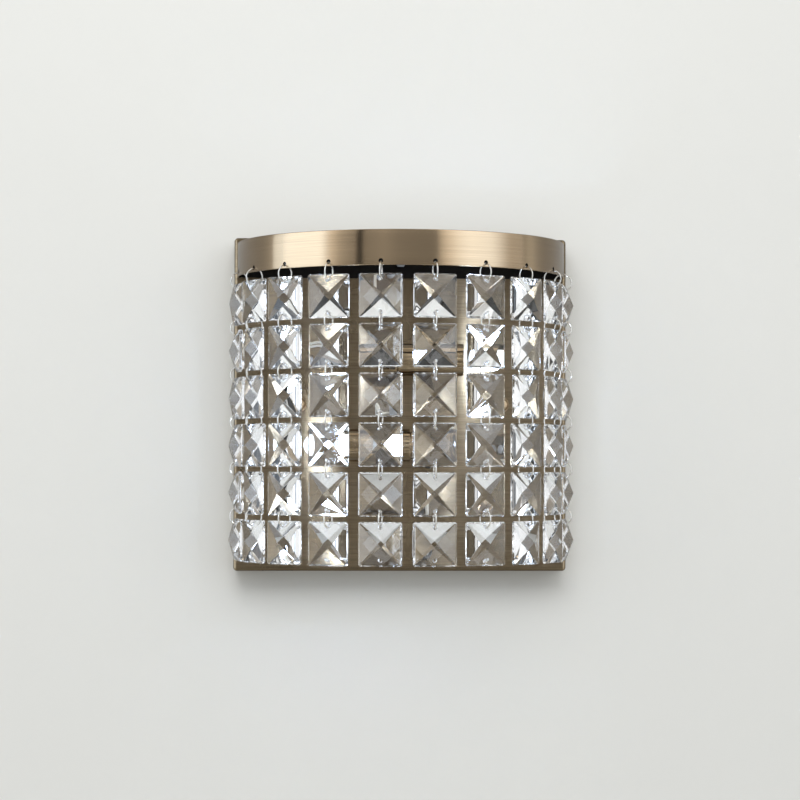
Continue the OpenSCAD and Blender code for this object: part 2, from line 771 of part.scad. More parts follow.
upper_live = concat(holder_stretch(-1), [
    [upper_bush_x + 3, -15, bush_z - 3.5],
    [upper_bush_x + 5, -11, block_top + 13],
    [live_way - 1, way_y - 1, block_top + 9],
    [live_way + lead_side, way_y, block_top + 4],
    [live_way + lead_side, way_y, lead_end_z]
]);
upper_neutral = concat(holder_stretch(1), [
    [upper_bush_x + 4, -16, bush_z],
    [upper_bush_x + lead_clearance, -13.5, block_top + lead_clearance + lead_drape],
    [-1, -12.5, block_top + lead_clearance],
    [neutral_way - 3, way_y - 1.5, block_top + 9],
    [neutral_way - lead_side, way_y, block_top + 4],
    [neutral_way - lead_side, way_y, lead_end_z]
]);
lower_neutral = concat(lower_holder_stretch(-1), [
    [-upper_bush_x - 0.5, -15, -bush_z + 6],
    [-upper_bush_x + 1.5, -11, -8]
], end_turn(neutral_way + lead_side, 1));
lower_live = concat(lower_holder_stretch(1), [
    [-upper_bush_x - 5, -15, -bush_z - 2],
    [-upper_bush_x - lead_clearance, -13, -bush_z],
    [live_way - 2, -13, -bush_z + 3],
    [live_way - 9, -12, -bush_z + 12],
    [live_way - 10.5, -10, -4]
], end_turn(live_way - lead_side, -1));
earth_route = [
    [0, way_y, lead_end_z],
    [0, way_y, block_top + 1],
    [-1, way_y - 3.5, block_top + 4.5],
    [upper_foot_right_x + 2, tag_y + 4, tag_foot_z - 5],
    [upper_foot_right_x, tag_y, tag_foot_z - 1.5],
    [upper_foot_right_x, tag_y, tag_foot_z + 3]
];

// Sweeping a round section along a route
function unit(v) = v / norm(v);
function heading(path, i) = unit(path[min(i + 1, len(path) - 1)] - path[max(i - 1, 0)]);
function square_to(v, h) = unit(v - (v * h) * h);
function side_vectors(path, i, last) = i == len(path) ? [] : let (
    here = square_to(last, heading(path, i))
) concat([here], side_vectors(path, i + 1, here));

// A round lead along a route, swept as one closed skin
module lead(path, start_side) {
    count = len(path);
    sides = 8;
    across = side_vectors(path, 0, start_side);
    skin = [for (i = [0:count - 1])
        let (h = heading(path, i), a = across[i], b = cross(h, a))
            for (s = [0:sides - 1])
                path[i] + lead_r * (cos(s * 360 / sides) * a + sin(s * 360 / sides) * b)];
    walls = [for (i = [0:count - 2])
        for (s = [0:sides - 1])
            let (p = i * sides + s, q = i * sides + (s + 1) % sides)
                for (f = [[p, p + sides, q + sides], [p, q + sides, q]])
                    f];
    start_cap = [[for (s = [0:sides - 1]) s]];
    end_cap = [[for (s = [0:sides - 1]) count * sides - 1 - s]];
    polyhedron(points = skin, faces = concat(walls, start_cap, end_cap));
}

module upper_leads() {
    color(sleeve_color) lead(upper_live, [0, 1, 0]);
    color(sleeve_color) lead(upper_neutral, [0, 1, 0]);
}

module lower_leads() {
    color(sleeve_color) lead(lower_live, [0, 1, 0]);
    color(sleeve_color) lead(lower_neutral, [0, 1, 0]);
}

module earth_lead()
    color(sleeve_color) lead(earth_route, [1, 0, 0]);

back_plate();
wall_strap();
strap_studs();
stud_lock_nuts();
dome_nuts();
dome_nut_washers();
cap_band();
cap_flange();
cap_screws();
cap_nuts();
holder_bracket();  // upper_holder_bracket
opposite() holder_bracket();  // lower_holder_bracket
bracket_screws();
bracket_nuts();
holder_cover();  // upper_holder_cover
opposite() holder_cover();  // lower_holder_cover
nipples();
nipple_nuts();
socket();  // upper_socket
opposite() socket();  // lower_socket
contacts();  // upper_contacts
opposite() contacts();  // lower_contacts
lamp_glass();  // upper_lamp_glass
opposite() lamp_glass();  // lower_lamp_glass
lamp_pins();  // upper_lamp_pins
opposite() lamp_pins();  // lower_lamp_pins
filament();  // upper_filament
opposite() filament();  // lower_filament
terminal_block();
terminal_sleeves();
terminal_screws();
block_screw();
earth_screw();
earth_tag();
lead_bushes();
upper_leads();
lower_leads();
earth_lead();
for (k = [1:string_count]) {
    crystals(k);
    rings(k);
}
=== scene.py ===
import math

import bmesh
import bpy
from bpy.props import FloatProperty, FloatVectorProperty, IntProperty, PointerProperty
from mathutils import Matrix, Vector


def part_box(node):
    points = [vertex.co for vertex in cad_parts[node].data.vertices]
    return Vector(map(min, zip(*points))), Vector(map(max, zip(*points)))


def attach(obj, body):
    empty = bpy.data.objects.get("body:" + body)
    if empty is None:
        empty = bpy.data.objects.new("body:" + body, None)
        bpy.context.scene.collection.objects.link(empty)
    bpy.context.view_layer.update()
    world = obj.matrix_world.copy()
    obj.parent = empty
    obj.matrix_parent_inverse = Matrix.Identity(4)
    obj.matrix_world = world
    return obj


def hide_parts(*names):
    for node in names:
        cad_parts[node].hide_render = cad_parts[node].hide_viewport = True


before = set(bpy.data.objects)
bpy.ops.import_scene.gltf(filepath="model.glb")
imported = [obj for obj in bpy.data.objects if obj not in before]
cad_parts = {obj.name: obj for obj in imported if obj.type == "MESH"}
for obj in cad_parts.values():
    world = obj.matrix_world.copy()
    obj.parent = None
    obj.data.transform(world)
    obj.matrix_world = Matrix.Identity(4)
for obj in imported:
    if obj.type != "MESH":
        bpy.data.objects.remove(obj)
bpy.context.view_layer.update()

bl_info = {
    "name": "Flush mount wall sconce",
    "version": (1, 0, 0),
    "blender": (4, 5, 0),
    "location": "View3D > Sidebar > Sconce",
    "description": "Brushed brass wall light with a half drum of cut crystals",
    "category": "Add Mesh",
}

MM = 0.001
PLATE_LOW, PLATE_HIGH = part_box("back_plate")
BAND_LOW, BAND_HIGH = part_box("cap_band")
COVER_LOW, COVER_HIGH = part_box("upper_holder_cover")
LAMP_LOW, LAMP_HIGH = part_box("upper_lamp_glass")
PIN_LOW, PIN_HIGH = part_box("upper_lamp_pins")
COIL_LOW, COIL_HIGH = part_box("upper_filament")
FACE_Y = PLATE_LOW.y
# The lower lampholder and lamp are the upper ones turned about the Y axis
SIDES = (("upper", 0), ("lower", math.pi))


def linear(code):
    """An sRGB hex colour as linear red, green, blue and alpha."""
    values = [int(code[i:i + 2], 16) / 255 for i in (1, 3, 5)]
    return (*(v / 12.92 if v <= 0.04045 else ((v + 0.055) / 1.055) ** 2.4 for v in values), 1.0)


def length(name, default, description):
    """A size property in metres."""
    return FloatProperty(name=name, description=description, default=default, min=0.0,
                         subtype="DISTANCE", unit="LENGTH", precision=5)


def colour(name, code, description):
    """A colour property, shown as sRGB and kept as linear values."""
    return FloatVectorProperty(name=name, description=description, subtype="COLOR", size=4,
                               min=0.0, max=1.0, default=linear(code))


class SCONCE_PG_cap(bpy.types.PropertyGroup):
    """Sizes of the half-round cap."""
    radius: length("Radius", BAND_HIGH.x, "Outer radius of the band")
    wall: length("Wall", 1.2 * MM, "Sheet thickness of the band")
    edge: length("Edge", 0.5 * MM, "Radius of the rounded edges")
    hole: length("Hole", 3.0 * MM, "Diameter of the string holes")
    hole_lift: length("Hole height", 2.75 * MM, "Height of the holes over the lower edge")


class SCONCE_PG_strings(bpy.types.PropertyGroup):
    """Sizes of the crystal strings."""
    count: IntProperty(name="Strings", description="Number of strings", default=10, min=2)
    rows: IntProperty(name="Rows", description="Crystals on each string", default=6, min=1)
    pitch: FloatProperty(name="Pitch", description="Angle between two strings",
                         default=math.radians(18), subtype="ANGLE")
    width: length("Width", 28.0 * MM, "Side of a crystal")
    thickness: length("Thickness", 14.0 * MM, "Crystal from point to point")
    rim: length("Rim", 1.6 * MM, "Thickness of the crystal's rim")
    bevel: length("Bevel", 1.2 * MM, "Width of the bevel inside the rim")
    rise: length("Bevel rise", 0.7 * MM, "How far the bevel rises")
    corner: length("Corner", 1.0 * MM, "Cut across the crystal's corners")
    polish: length("Polish", 0.14 * MM, "Width that polishing has rounded off the edges")
    hole: length("Hole", 2.2 * MM, "Diameter of a crystal's drilled holes")
    inset: length("Hole inset", 4.0 * MM, "Distance of a hole from the edge")
    ring: length("Ring", 11.4 * MM, "Diameter of a ring to the middle of its wire")
    wire: length("Wire", 0.9 * MM, "Diameter of the ring's wire")
    hang: length("Hang", 87.55 * MM, "Height of the top of the first ring")
    crystal_twist: FloatProperty(name="Crystal twist", description="Largest turn of a crystal",
                                 default=math.radians(5), subtype="ANGLE")
    ring_twist: FloatProperty(name="Ring twist", description="Largest turn of a ring",
                              default=math.radians(7), subtype="ANGLE")
    seed: IntProperty(name="Seed", description="Seed of the turns", default=4, min=0)


class SCONCE_PG_lamps(bpy.types.PropertyGroup):
    """Sizes and brightness of the lampholders and lamps."""
    cover_wall: length("Cover wall", 0.8 * MM, "Sheet thickness of a lampholder cover")
    cover_bend: length("Cover bend", 1.4 * MM, "Radius round the cover's closed end")
    cover_hole: length("Cover hole", 5.25 * MM, "Radius of the hole in the closed end")
    pinch: length("Pinch", 12.0 * MM, "Length of the lamp's flat foot")
    pinch_thickness: length("Pinch thickness", 4.4 * MM, "Thickness of the flat foot")
    pinch_width: length("Pinch width", 13.0 * MM, "Width of the flat foot")
    glass_wall: length("Glass wall", 1.0 * MM, "Thickness of the lamp's glass")
    shoulder: length("Shoulder", 4.0 * MM, "Length from the flat foot to the round tube")
    pin_pitch: length("Pin pitch", 9.0 * MM, "Distance between the two pins")
    coil_length: length("Coil length", 12.0 * MM, "Length of the filament along the lamp")
    coil_wire: length("Coil wire", 0.5 * MM, "Thickness of the filament's coiled wire")
    coil_pitch: length("Coil pitch", 0.85 * MM, "Distance between two turns of the filament")
    glow: FloatProperty(name="Glow", description="Brightness of the lit glass", default=16.0)
    filament_glow: FloatProperty(name="Filament glow", description="Brightness of the filament",
                                 default=60.0)


class SCONCE_PG_wiring(bpy.types.PropertyGroup):
    """Sizes of the leads."""
    sleeve: length("Sleeve", 1.8 * MM, "Outer diameter of a lead's sleeve")
    braid: length("Braid", 0.5 * MM, "Distance between two threads of the sleeve's braid")


class SCONCE_PG_finishes(bpy.types.PropertyGroup):
    """Colours of the finishes."""
    brass: colour("Antique brass", "#b8a182", "Lacquered antique brass")
    patina: colour("Patina", "#9d886c", "Darker brown of the antiqued brass")
    # The back plate's brass and patina are darker than the band's: partly painted shade, for the
    # plate inside the drum
    plate: colour("Plate brass", "#958469", "Darker antique brass of the back plate")
    plate_patina: colour("Plate patina", "#6d5e49", "Darker brown of the back plate")
    paint: colour("Black paint", "#090705", "Paint inside the cap")
    zinc: colour("Zinc", "#b4b7bb", "Zinc plate on the steel pieces")
    nickel: colour("Nickel", "#dcd8d0", "Nickel plate on the ring wire")
    ceramic: colour("Ceramic", "#ece7db", "Steatite of the sockets")
    wall: colour("Wall", "#e5e6e3", "Painted wall behind the light")
    # Painted shade: a darker wall colour that reflections near the object and the wall's bounce
    # light see
    painted_shade: colour("Wall bounce", "#a4a4a2", "Wall as it lights the object, kept low")


def add(tree, kind, inputs=None, **options):
    """Adds a node, sets its options, then its inputs.

    An input is a value, a socket, or a node, whose first output in use is taken.
    """
    made = tree.nodes.new(kind)
    for key, value in options.items():
        setattr(made, key, value)
    for key, value in (inputs or {}).items():
        if isinstance(value, bpy.types.Node):
            value = next(output for output in value.outputs if output.enabled)
        if isinstance(value, bpy.types.NodeSocket):
            tree.links.new(value, made.inputs[key])
        else:
            made.inputs[key].default_value = value
    return made


def new_material(name):
    """An empty node material, its tree, and the socket of the object's coordinates."""
    made = bpy.data.materials.new(name)
    made.use_nodes = True
    tree = made.node_tree
    tree.nodes.clear()
    return made, tree, add(tree, "ShaderNodeTexCoord").outputs["Object"]


def end_material(made, shader):
    """Joins the shader to the material's output and returns the material."""
    add(made.node_tree, "ShaderNodeOutputMaterial", {"Surface": shader})
    return made


def brushed_brass(name, light, dark, axis, turn, polish, scratch, lacquer, evenness):
    """Antique brass with level brush marks. The marks spread a highlight up and down."""
    made, tree, place = new_material(name)
    # Real marks are under 0.1 mm apart. They are drawn coarser so that they show: the
    # stripes of colour 0.8 mm apart and the dents 0.3 mm, as counts in a metre. The
    # lacquer's clouds are 70 mm apart
    stripes, dents = (16, 16, 1250), (12, 12, 3600)
    marks = add(tree, "ShaderNodeMapping", {"Vector": place, "Scale": stripes})
    streaks = add(tree, "ShaderNodeTexNoise", {
        "Vector": marks, "Scale": 1.0, "Detail": 3.0, "Roughness": 0.6})
    cloud = add(tree, "ShaderNodeTexNoise", {"Vector": place, "Scale": 14.0, "Detail": 3.0})
    # Shares of the streaks and clouds in the colour, and how much rougher a cloud is
    streak_share, cloud_share, dullness = 0.6, 0.4, 0.08
    tone = add(tree, "ShaderNodeMath", {0: streaks, 1: streak_share}, operation="MULTIPLY")
    tone = add(tree, "ShaderNodeMath", {0: cloud, 1: cloud_share, 2: tone},
               operation="MULTIPLY_ADD")
    spread = add(tree, "ShaderNodeMapRange", {
        "Value": tone, "From Min": 0.5 - evenness, "From Max": 0.5 + evenness})
    base = add(tree, "ShaderNodeMix", {0: spread, 6: dark, 7: light}, data_type="RGBA")
    rough = add(tree, "ShaderNodeMapRange", {
        "Value": cloud, "To Min": polish, "To Max": polish + dullness})
    scores = add(tree, "ShaderNodeMapping", {"Vector": place, "Scale": dents})
    depth = add(tree, "ShaderNodeTexNoise", {"Vector": scores, "Scale": 1.0, "Detail": 2.0})
    bump = add(tree, "ShaderNodeBump", {
        "Height": depth, "Strength": scratch, "Distance": 0.1 * MM})
    tangent = add(tree, "ShaderNodeTangent", direction_type="RADIAL", axis=axis)
    shader = add(tree, "ShaderNodeBsdfPrincipled", {
        "Base Color": base, "Metallic": 1.0, "Roughness": rough, "Anisotropic": 1.0,
        "Anisotropic Rotation": turn, "Tangent": tangent, "Normal": bump, "Coat Weight": lacquer,
        "Coat Roughness": 0.15})
    return end_material(made, shader)


def grained(name, colour_value, roughness, fineness, relief, tones, spread, shine):
    """One colour whose tone, roughness and height vary a little with a fine grain.

    The fineness is how many grains lie in a metre, and the relief how strongly they show.
    Real grain is under 0.1 mm. It is drawn 0.7 to 3 mm wide so that it shows.
    """
    made, tree, place = new_material(name)
    grain = add(tree, "ShaderNodeTexNoise", {"Vector": place, "Scale": fineness, "Detail": 4.0})
    tone = add(tree, "ShaderNodeMapRange", {
        "Value": grain, "To Min": tones[0], "To Max": tones[1]})
    shade = add(tree, "ShaderNodeHueSaturation", {"Color": colour_value, "Value": tone})
    rough = add(tree, "ShaderNodeMapRange", {
        "Value": grain, "To Min": roughness * spread[0], "To Max": roughness * spread[1]})
    bump = add(tree, "ShaderNodeBump", {
        "Height": grain, "Strength": relief, "Distance": 0.2 * MM})
    shader = add(tree, "ShaderNodeBsdfPrincipled", {
        "Base Color": shade, "Roughness": rough, "Normal": bump, **shine})
    return end_material(made, shader)


def metal(name, colour_value, roughness, fineness, relief):
    """A plain metal with the fine uneven surface that its making leaves."""
    return grained(name, colour_value, roughness, fineness, relief, tones=(0.82, 1.12),
                   spread=(0.8, 1.25), shine={"Metallic": 1.0})


def solid_finish(name, colour_value, roughness, fineness, relief, coat=0.0, gloss=0.5):
    """Paint, plastic, rubber or ceramic, with a soft sheen and a faint grain."""
    return grained(name, colour_value, roughness, fineness, relief, tones=(0.88, 1.08),
                   spread=(0.85, 1.15), shine={
                       "Coat Weight": coat, "Coat Roughness": 0.08,
                       "Specular IOR Level": gloss})


def cut_crystal(name, roughness, streak):
    """Optical glass: clear and sharp where polished, milky where only drilled."""
    made, tree, place = new_material(name)
    # What haze there is comes in patches 6 mm apart
    haze = add(tree, "ShaderNodeTexNoise", {"Vector": place, "Scale": 160.0, "Detail": 3.0})
    tint = add(tree, "ShaderNodeMix", {0: haze, 6: linear("#fafcfe"), 7: linear("#ffffff")},
               data_type="RGBA")
    rough = add(tree, "ShaderNodeMapRange", {
        "Value": haze, "To Min": roughness, "To Max": roughness + streak})
    shader = add(tree, "ShaderNodeBsdfPrincipled", {
        "Base Color": tint, "Roughness": rough, "Transmission Weight": 1.0, "IOR": 1.54})
    return end_material(made, shader)


def lit_glass(name, strength):
    """Clear fused glass of a lit lamp. It glows where the filament is behind it."""
    made, tree, place = new_material(name)
    # The melt's tint drifts over 17 mm
    drift = add(tree, "ShaderNodeTexNoise", {"Vector": place, "Scale": 60.0})
    tint = add(tree, "ShaderNodeMix", {0: drift, 6: linear("#fbfdff"), 7: linear("#ffffff")},
               data_type="RGBA")
    along = add(tree, "ShaderNodeMath", {0: add(tree, "ShaderNodeSeparateXYZ", {0: place})},
                operation="ABSOLUTE")
    end, fade = COIL_HIGH.x, 3 * MM
    start = end - bpy.context.scene.sconce_lamps.coil_length
    risen = add(tree, "ShaderNodeMapRange", {
        "Value": along, "From Min": start - fade, "From Max": start},
        interpolation_type="SMOOTHSTEP")
    fallen = add(tree, "ShaderNodeMapRange", {
        "Value": along, "From Min": end, "From Max": end + fade, "To Min": 1.0, "To Max": 0.0},
        interpolation_type="SMOOTHSTEP")
    core = add(tree, "ShaderNodeMath", {0: risen, 1: fallen}, operation="MULTIPLY")
    # Cool white, so that its reflection in brass is a plain white as in the real light
    glow = add(tree, "ShaderNodeMix", {0: core, 6: linear("#2c3033"), 7: linear("#c3daff")},
               data_type="RGBA")
    shader = add(tree, "ShaderNodeBsdfPrincipled", {
        "Base Color": tint, "Roughness": 0.03, "Transmission Weight": 1.0, "IOR": 1.46,
        "Emission Color": glow, "Emission Strength": strength})
    return end_material(made, shader)


def glowing_wire(name, strength):
    """Tungsten at white heat: it outshines its own surface, a little uneven every 2.5 mm."""
    made, tree, place = new_material(name)
    drift = add(tree, "ShaderNodeTexNoise", {"Vector": place, "Scale": 400.0})
    glow = add(tree, "ShaderNodeMix", {0: drift, 6: linear("#fff2dc"), 7: linear("#fffdf6")},
               data_type="RGBA")
    shader = add(tree, "ShaderNodeBsdfPrincipled", {
        "Base Color": glow, "Metallic": 1.0, "Roughness": 0.4, "Emission Color": glow,
        "Emission Strength": strength})
    return end_material(made, shader)


def braided(name, colour_value, pitch):
    """Woven glass fibre under a skin of silicone: small raised threads that cross."""
    made, tree, place = new_material(name)
    weave = add(tree, "ShaderNodeTexVoronoi", {
        "Vector": place, "Scale": 1.0 / pitch, "Randomness": 0.25})
    tone = add(tree, "ShaderNodeMapRange", {
        "Value": weave, "From Max": 0.7, "To Min": 1.06, "To Max": 0.8})
    shade = add(tree, "ShaderNodeHueSaturation", {"Color": colour_value, "Value": tone})
    bump = add(tree, "ShaderNodeBump", {"Height": weave, "Strength": 0.5, "Distance": 0.2 * MM},
               invert=True)
    shader = add(tree, "ShaderNodeBsdfPrincipled", {
        "Base Color": shade, "Roughness": 0.55, "Normal": bump})
    return end_material(made, shader)


def one_way(name, colour_value, painted_shade):
    """Matt wall paint that shows on its front and lets everything through from behind."""
    made, tree, place = new_material(name)
    # Filled and rolled plaster: patches 200 mm apart with finer ones in them
    plaster = add(tree, "ShaderNodeTexNoise", {
        "Vector": place, "Scale": 5.0, "Detail": 8.0, "Roughness": 0.6})
    tone = add(tree, "ShaderNodeMapRange", {"Value": plaster, "To Min": 0.98, "To Max": 1.015})
    path = add(tree, "ShaderNodeLightPath")
    # Painted shade: gloss near the object and every diffuse ray see the wall in a darker colour,
    # and gloss from 0.2 to 0.6 m out ever more as it is. A ray that comes out of glass counts
    # as glossy too, so it is taken off again
    mirrored = add(tree, "ShaderNodeMath", {
        0: path.outputs["Is Glossy Ray"], 1: path.outputs["Is Transmission Ray"]},
        operation="SUBTRACT", use_clamp=True)
    sideways = add(tree, "ShaderNodeMath", {0: add(tree, "ShaderNodeSeparateXYZ", {0: place})},
                   operation="ABSOLUTE")
    near = add(tree, "ShaderNodeMapRange", {
        "Value": sideways, "From Min": 0.2, "From Max": 0.6, "To Min": 1.0, "To Max": 0.0},
        interpolation_type="SMOOTHSTEP")
    painted_shade_share = add(tree, "ShaderNodeMath", {
        0: mirrored, 1: near, 2: path.outputs["Is Diffuse Ray"]},
        operation="MULTIPLY_ADD", use_clamp=True)
    paint_colour = add(tree, "ShaderNodeMix", {0: painted_shade_share, 6: colour_value, 7: painted_shade},
                       data_type="RGBA")
    # Painted light: glass sees the wall painted nearer to white from beside the plate outwards
    beside = add(tree, "ShaderNodeMapRange", {
        "Value": sideways, "From Min": 0.09, "From Max": 0.13}, interpolation_type="SMOOTHSTEP")
    painted_light_share = add(tree, "ShaderNodeMath", {0: path.outputs["Is Transmission Ray"], 1: beside},
                 operation="MULTIPLY")
    pale = add(tree, "ShaderNodeMix", {0: painted_light_share, 6: paint_colour, 7: linear("#ffffff")},
               data_type="RGBA")
    shade = add(tree, "ShaderNodeHueSaturation", {"Color": pale, "Value": tone})
    paint = add(tree, "ShaderNodeBsdfDiffuse", {"Color": shade})
    clear = add(tree, "ShaderNodeBsdfTransparent")
    behind = add(tree, "ShaderNodeNewGeometry").outputs["Backfacing"]
    both = add(tree, "ShaderNodeMixShader", {0: behind, 1: paint, 2: clear})
    return end_material(made, both)


def put(name, mesh, body, slot, *nodes):
    """Adds a finished mesh as a piece that rides on a body and stands for CAD nodes."""
    piece = bpy.data.objects.new(name, mesh)
    bpy.context.scene.collection.objects.link(piece)
    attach(piece, body)
    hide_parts(*nodes)
    return piece


def finish_nodes(finish, *nodes):
    """Gives CAD nodes their material."""
    for node in nodes:
        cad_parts[node].data.materials[0] = finish


def smooth(mesh, angle=35):
    """Rounds the shading over every edge that turns less than the angle."""
    mesh.polygons.foreach_set("use_smooth", [True] * len(mesh.polygons))
    mesh.set_sharp_from_angle(angle=math.radians(angle))


def mesh_from(bm, name, turn_out=True):
    """Ends a bmesh as a mesh, with its faces turned outwards where that is asked for."""
    if turn_out:
        bmesh.ops.recalc_face_normals(bm, faces=bm.faces)
    mesh = bpy.data.meshes.new(name)
    bm.to_mesh(mesh)
    bm.free()
    return mesh


def join_rings(bm, rings):
    """Joins each closed ring of vertices to the next one and returns the faces."""
    faces = []
    for here, there in zip(rings, rings[1:]):
        for j in range(len(here)):
            k = (j + 1) % len(here)
            faces.append(bm.faces.new((here[j], here[k], there[k], there[j])))
    return faces


def arc(centre, radius, start, end, steps):
    """Points of an arc, from one angle in degrees to another."""
    return [(centre[0] + radius * math.cos(math.radians(start + (end - start) * i / steps)),
             centre[1] + radius * math.sin(math.radians(start + (end - start) * i / steps)))
            for i in range(steps + 1)]


def lathe(profile, steps, name):
    """Turns a closed profile of (along, radius) round the X axis."""
    bm = bmesh.new()
    rings = [[bm.verts.new((a, r * math.sin(t), r * math.cos(t))) for a, r in profile]
             for t in (2 * math.pi * i / steps for i in range(steps))]
    join_rings(bm, rings + rings[:1])
    bmesh.ops.remove_doubles(bm, verts=bm.verts, dist=1e-7)
    bmesh.ops.dissolve_degenerate(bm, edges=bm.edges, dist=1e-7)
    return mesh_from(bm, name)


def new_tree(name, inputs):
    """A Geometry Nodes tree with named inputs, their sockets and their identifiers."""
    tree = bpy.data.node_groups.new(name, "GeometryNodeTree")
    tree.interface.new_socket(name="Geometry", in_out="OUTPUT",
                              socket_type="NodeSocketGeometry")
    tree.interface.new_socket(name="Geometry", in_out="INPUT",
                              socket_type="NodeSocketGeometry")
    keys = {}
    for label, kind in inputs.items():
        socket = tree.interface.new_socket(name=label, in_out="INPUT",
                                           socket_type="NodeSocket" + kind)
        keys[label] = socket.identifier
    return tree, add(tree, "NodeGroupInput").outputs, keys


def run_tree(tree, keys, mesh, values, name):
    """Runs a tree on a mesh and returns the plain mesh that it makes."""
    holder = bpy.data.objects.new(name, mesh)
    bpy.context.scene.collection.objects.link(holder)
    modifier = holder.modifiers.new(name, "NODES")
    modifier.node_group = tree
    for label, value in values.items():
        modifier[keys[label]] = value
    bpy.context.view_layer.update()
    found = bpy.context.evaluated_depsgraph_get()
    result = bpy.data.meshes.new_from_object(holder.evaluated_get(found))
    result.name = name
    holder.modifiers.remove(modifier)
    bpy.data.objects.remove(holder)
    return result


def path_mesh(name, *paths):
    """A mesh of bare edges, one chain for each path of points."""
    points = [point for path in paths for point in path]
    edges, start = [], 0
    for path in paths:
        edges += [(start + i, start + i + 1) for i in range(len(path) - 1)]
        start += len(path)
    mesh = bpy.data.meshes.new(name)
    mesh.from_pydata(points, edges, [])
    return mesh


def wire_along(tree, curve, width, sides):
    """Runs a round wire along a curve."""
    radius = add(tree, "ShaderNodeMath", {0: width, 1: 0.5}, operation="MULTIPLY")
    section = add(tree, "GeometryNodeCurvePrimitiveCircle", {
        "Resolution": sides, "Radius": radius}, mode="RADIUS")
    return add(tree, "GeometryNodeCurveToMesh", {
        "Curve": curve, "Profile Curve": section, "Fill Caps": True})


def rod_tree():
    """Runs a round rod along a smooth curve through the points of each path."""
    tree, ask, keys = new_tree("round_rod", {
        "Diameter": "Float", "Step": "Float", "Sides": "Int", "Material": "Material"})
    path = add(tree, "GeometryNodeMeshToCurve", {"Mesh": ask["Geometry"]})
    soft = add(tree, "GeometryNodeCurveSplineType", {"Curve": path}, spline_type="CATMULL_ROM")
    even = add(tree, "GeometryNodeResampleCurve", {"Curve": soft, "Length": ask["Step"]},
               mode="LENGTH")
    rod = wire_along(tree, even, ask["Diameter"], ask["Sides"])
    real = add(tree, "GeometryNodeRealizeInstances", {0: rod})
    ended = add(tree, "GeometryNodeSetMaterial", {"Geometry": real, "Material": ask["Material"]})
    add(tree, "NodeGroupOutput", {0: ended})
    return tree, keys


def skin(bm, stations, steps):
    """Joins oval sections along X. A station is x, half sizes in y and z, and squareness."""
    rings = []
    for x, half_y, half_z, power in stations:
        ring = []
        for i in range(steps):
            turn = 2 * math.pi * i / steps
            across, up = math.cos(turn), math.sin(turn)
            ring.append(bm.verts.new((
                x, half_y * math.copysign(abs(across) ** (2 / power), across),
                half_z * math.copysign(abs(up) ** (2 / power), up))))
        rings.append(ring)
    return join_rings(bm, rings) + [bm.faces.new(rings[0]), bm.faces.new(rings[-1])]


def capsule():
    """The lamp's glass: a flat foot, a shoulder, a tube and a round end, hollow inside."""
    lamps = bpy.context.scene.sconce_lamps
    radius = (LAMP_HIGH.z - LAMP_LOW.z) / 2
    bore = radius - lamps.glass_wall
    foot, bevel, floor = LAMP_LOW.x, 0.4 * MM, 2 * MM
    thick, wide = lamps.pinch_thickness / 2, lamps.pinch_width / 2
    # Squareness of the flat foot and of a circle, and how finely all is divided
    square, circle, steps, blend = 7, 2, 64, 12
    stations = [(foot, thick - bevel, wide - bevel, square),
                (foot + bevel, thick, wide, square),
                (foot + lamps.pinch, thick, wide, square)]
    for i in range(1, blend + 1):
        part = i / blend
        ease = part * part * (3 - 2 * part)
        stations.append((foot + lamps.pinch + lamps.shoulder * part,
                         thick + (radius - thick) * ease, wide + (radius - wide) * ease,
                         square - (square - circle) * ease ** 0.5))
    centre = LAMP_HIGH.x - radius
    stations += [(x, r, r, circle) for x, r in arc((centre, 0), radius, 90, 3, 14)]
    bm = bmesh.new()
    skin(bm, stations, steps)
    start = foot + lamps.pinch + lamps.shoulder
    stations = []
    for turn in range(84, -1, -12):
        r = bore * math.cos(math.radians(turn))
        stations.append((start + floor - floor * math.sin(math.radians(turn)), r, r, circle))
    stations += [(x, r, r, circle) for x, r in arc((centre, 0), bore, 90, 3, 14)]
    inner = skin(bm, stations, steps)
    bmesh.ops.recalc_face_normals(bm, faces=bm.faces)
    bmesh.ops.reverse_faces(bm, faces=inner)
    return mesh_from(bm, "capsule", turn_out=False)


def coil_path(lamps, axis_y, axis_z):
    """Points of the filament's coiled wire, wound round a hairpin along the lamp."""
    half = (COIL_HIGH.z - COIL_LOW.z) / 2 - lamps.coil_wire / 2
    reach = (COIL_HIGH.y - COIL_LOW.y) / 2 - lamps.coil_wire / 2
    side, bend, per_turn = half - reach, 1.4 * MM, 12
    start, tip = COIL_HIGH.x - reach - lamps.coil_length, COIL_HIGH.x - reach
    line = [(start, side)]
    line += arc((tip - bend, side - bend), bend, 90, 0, 6)
    line += arc((tip - bend, bend - side), bend, 0, -90, 6)
    line += [(start, -side)]
    points, turned = [], 0.0
    for (x0, z0), (x1, z1) in zip(line, line[1:]):
        run = math.hypot(x1 - x0, z1 - z0)
        steps = max(1, round(run / lamps.coil_pitch * per_turn))
        for i in range(steps):
            part = i / steps
            turn = turned + 2 * math.pi * run * part / lamps.coil_pitch
            out = reach * math.cos(turn)
            points.append((x0 + (x1 - x0) * part - (z1 - z0) / run * out,
                           axis_y + reach * math.sin(turn),
                           axis_z + z0 + (z1 - z0) * part + (x1 - x0) / run * out))
        turned += 2 * math.pi * run / lamps.coil_pitch
    return points


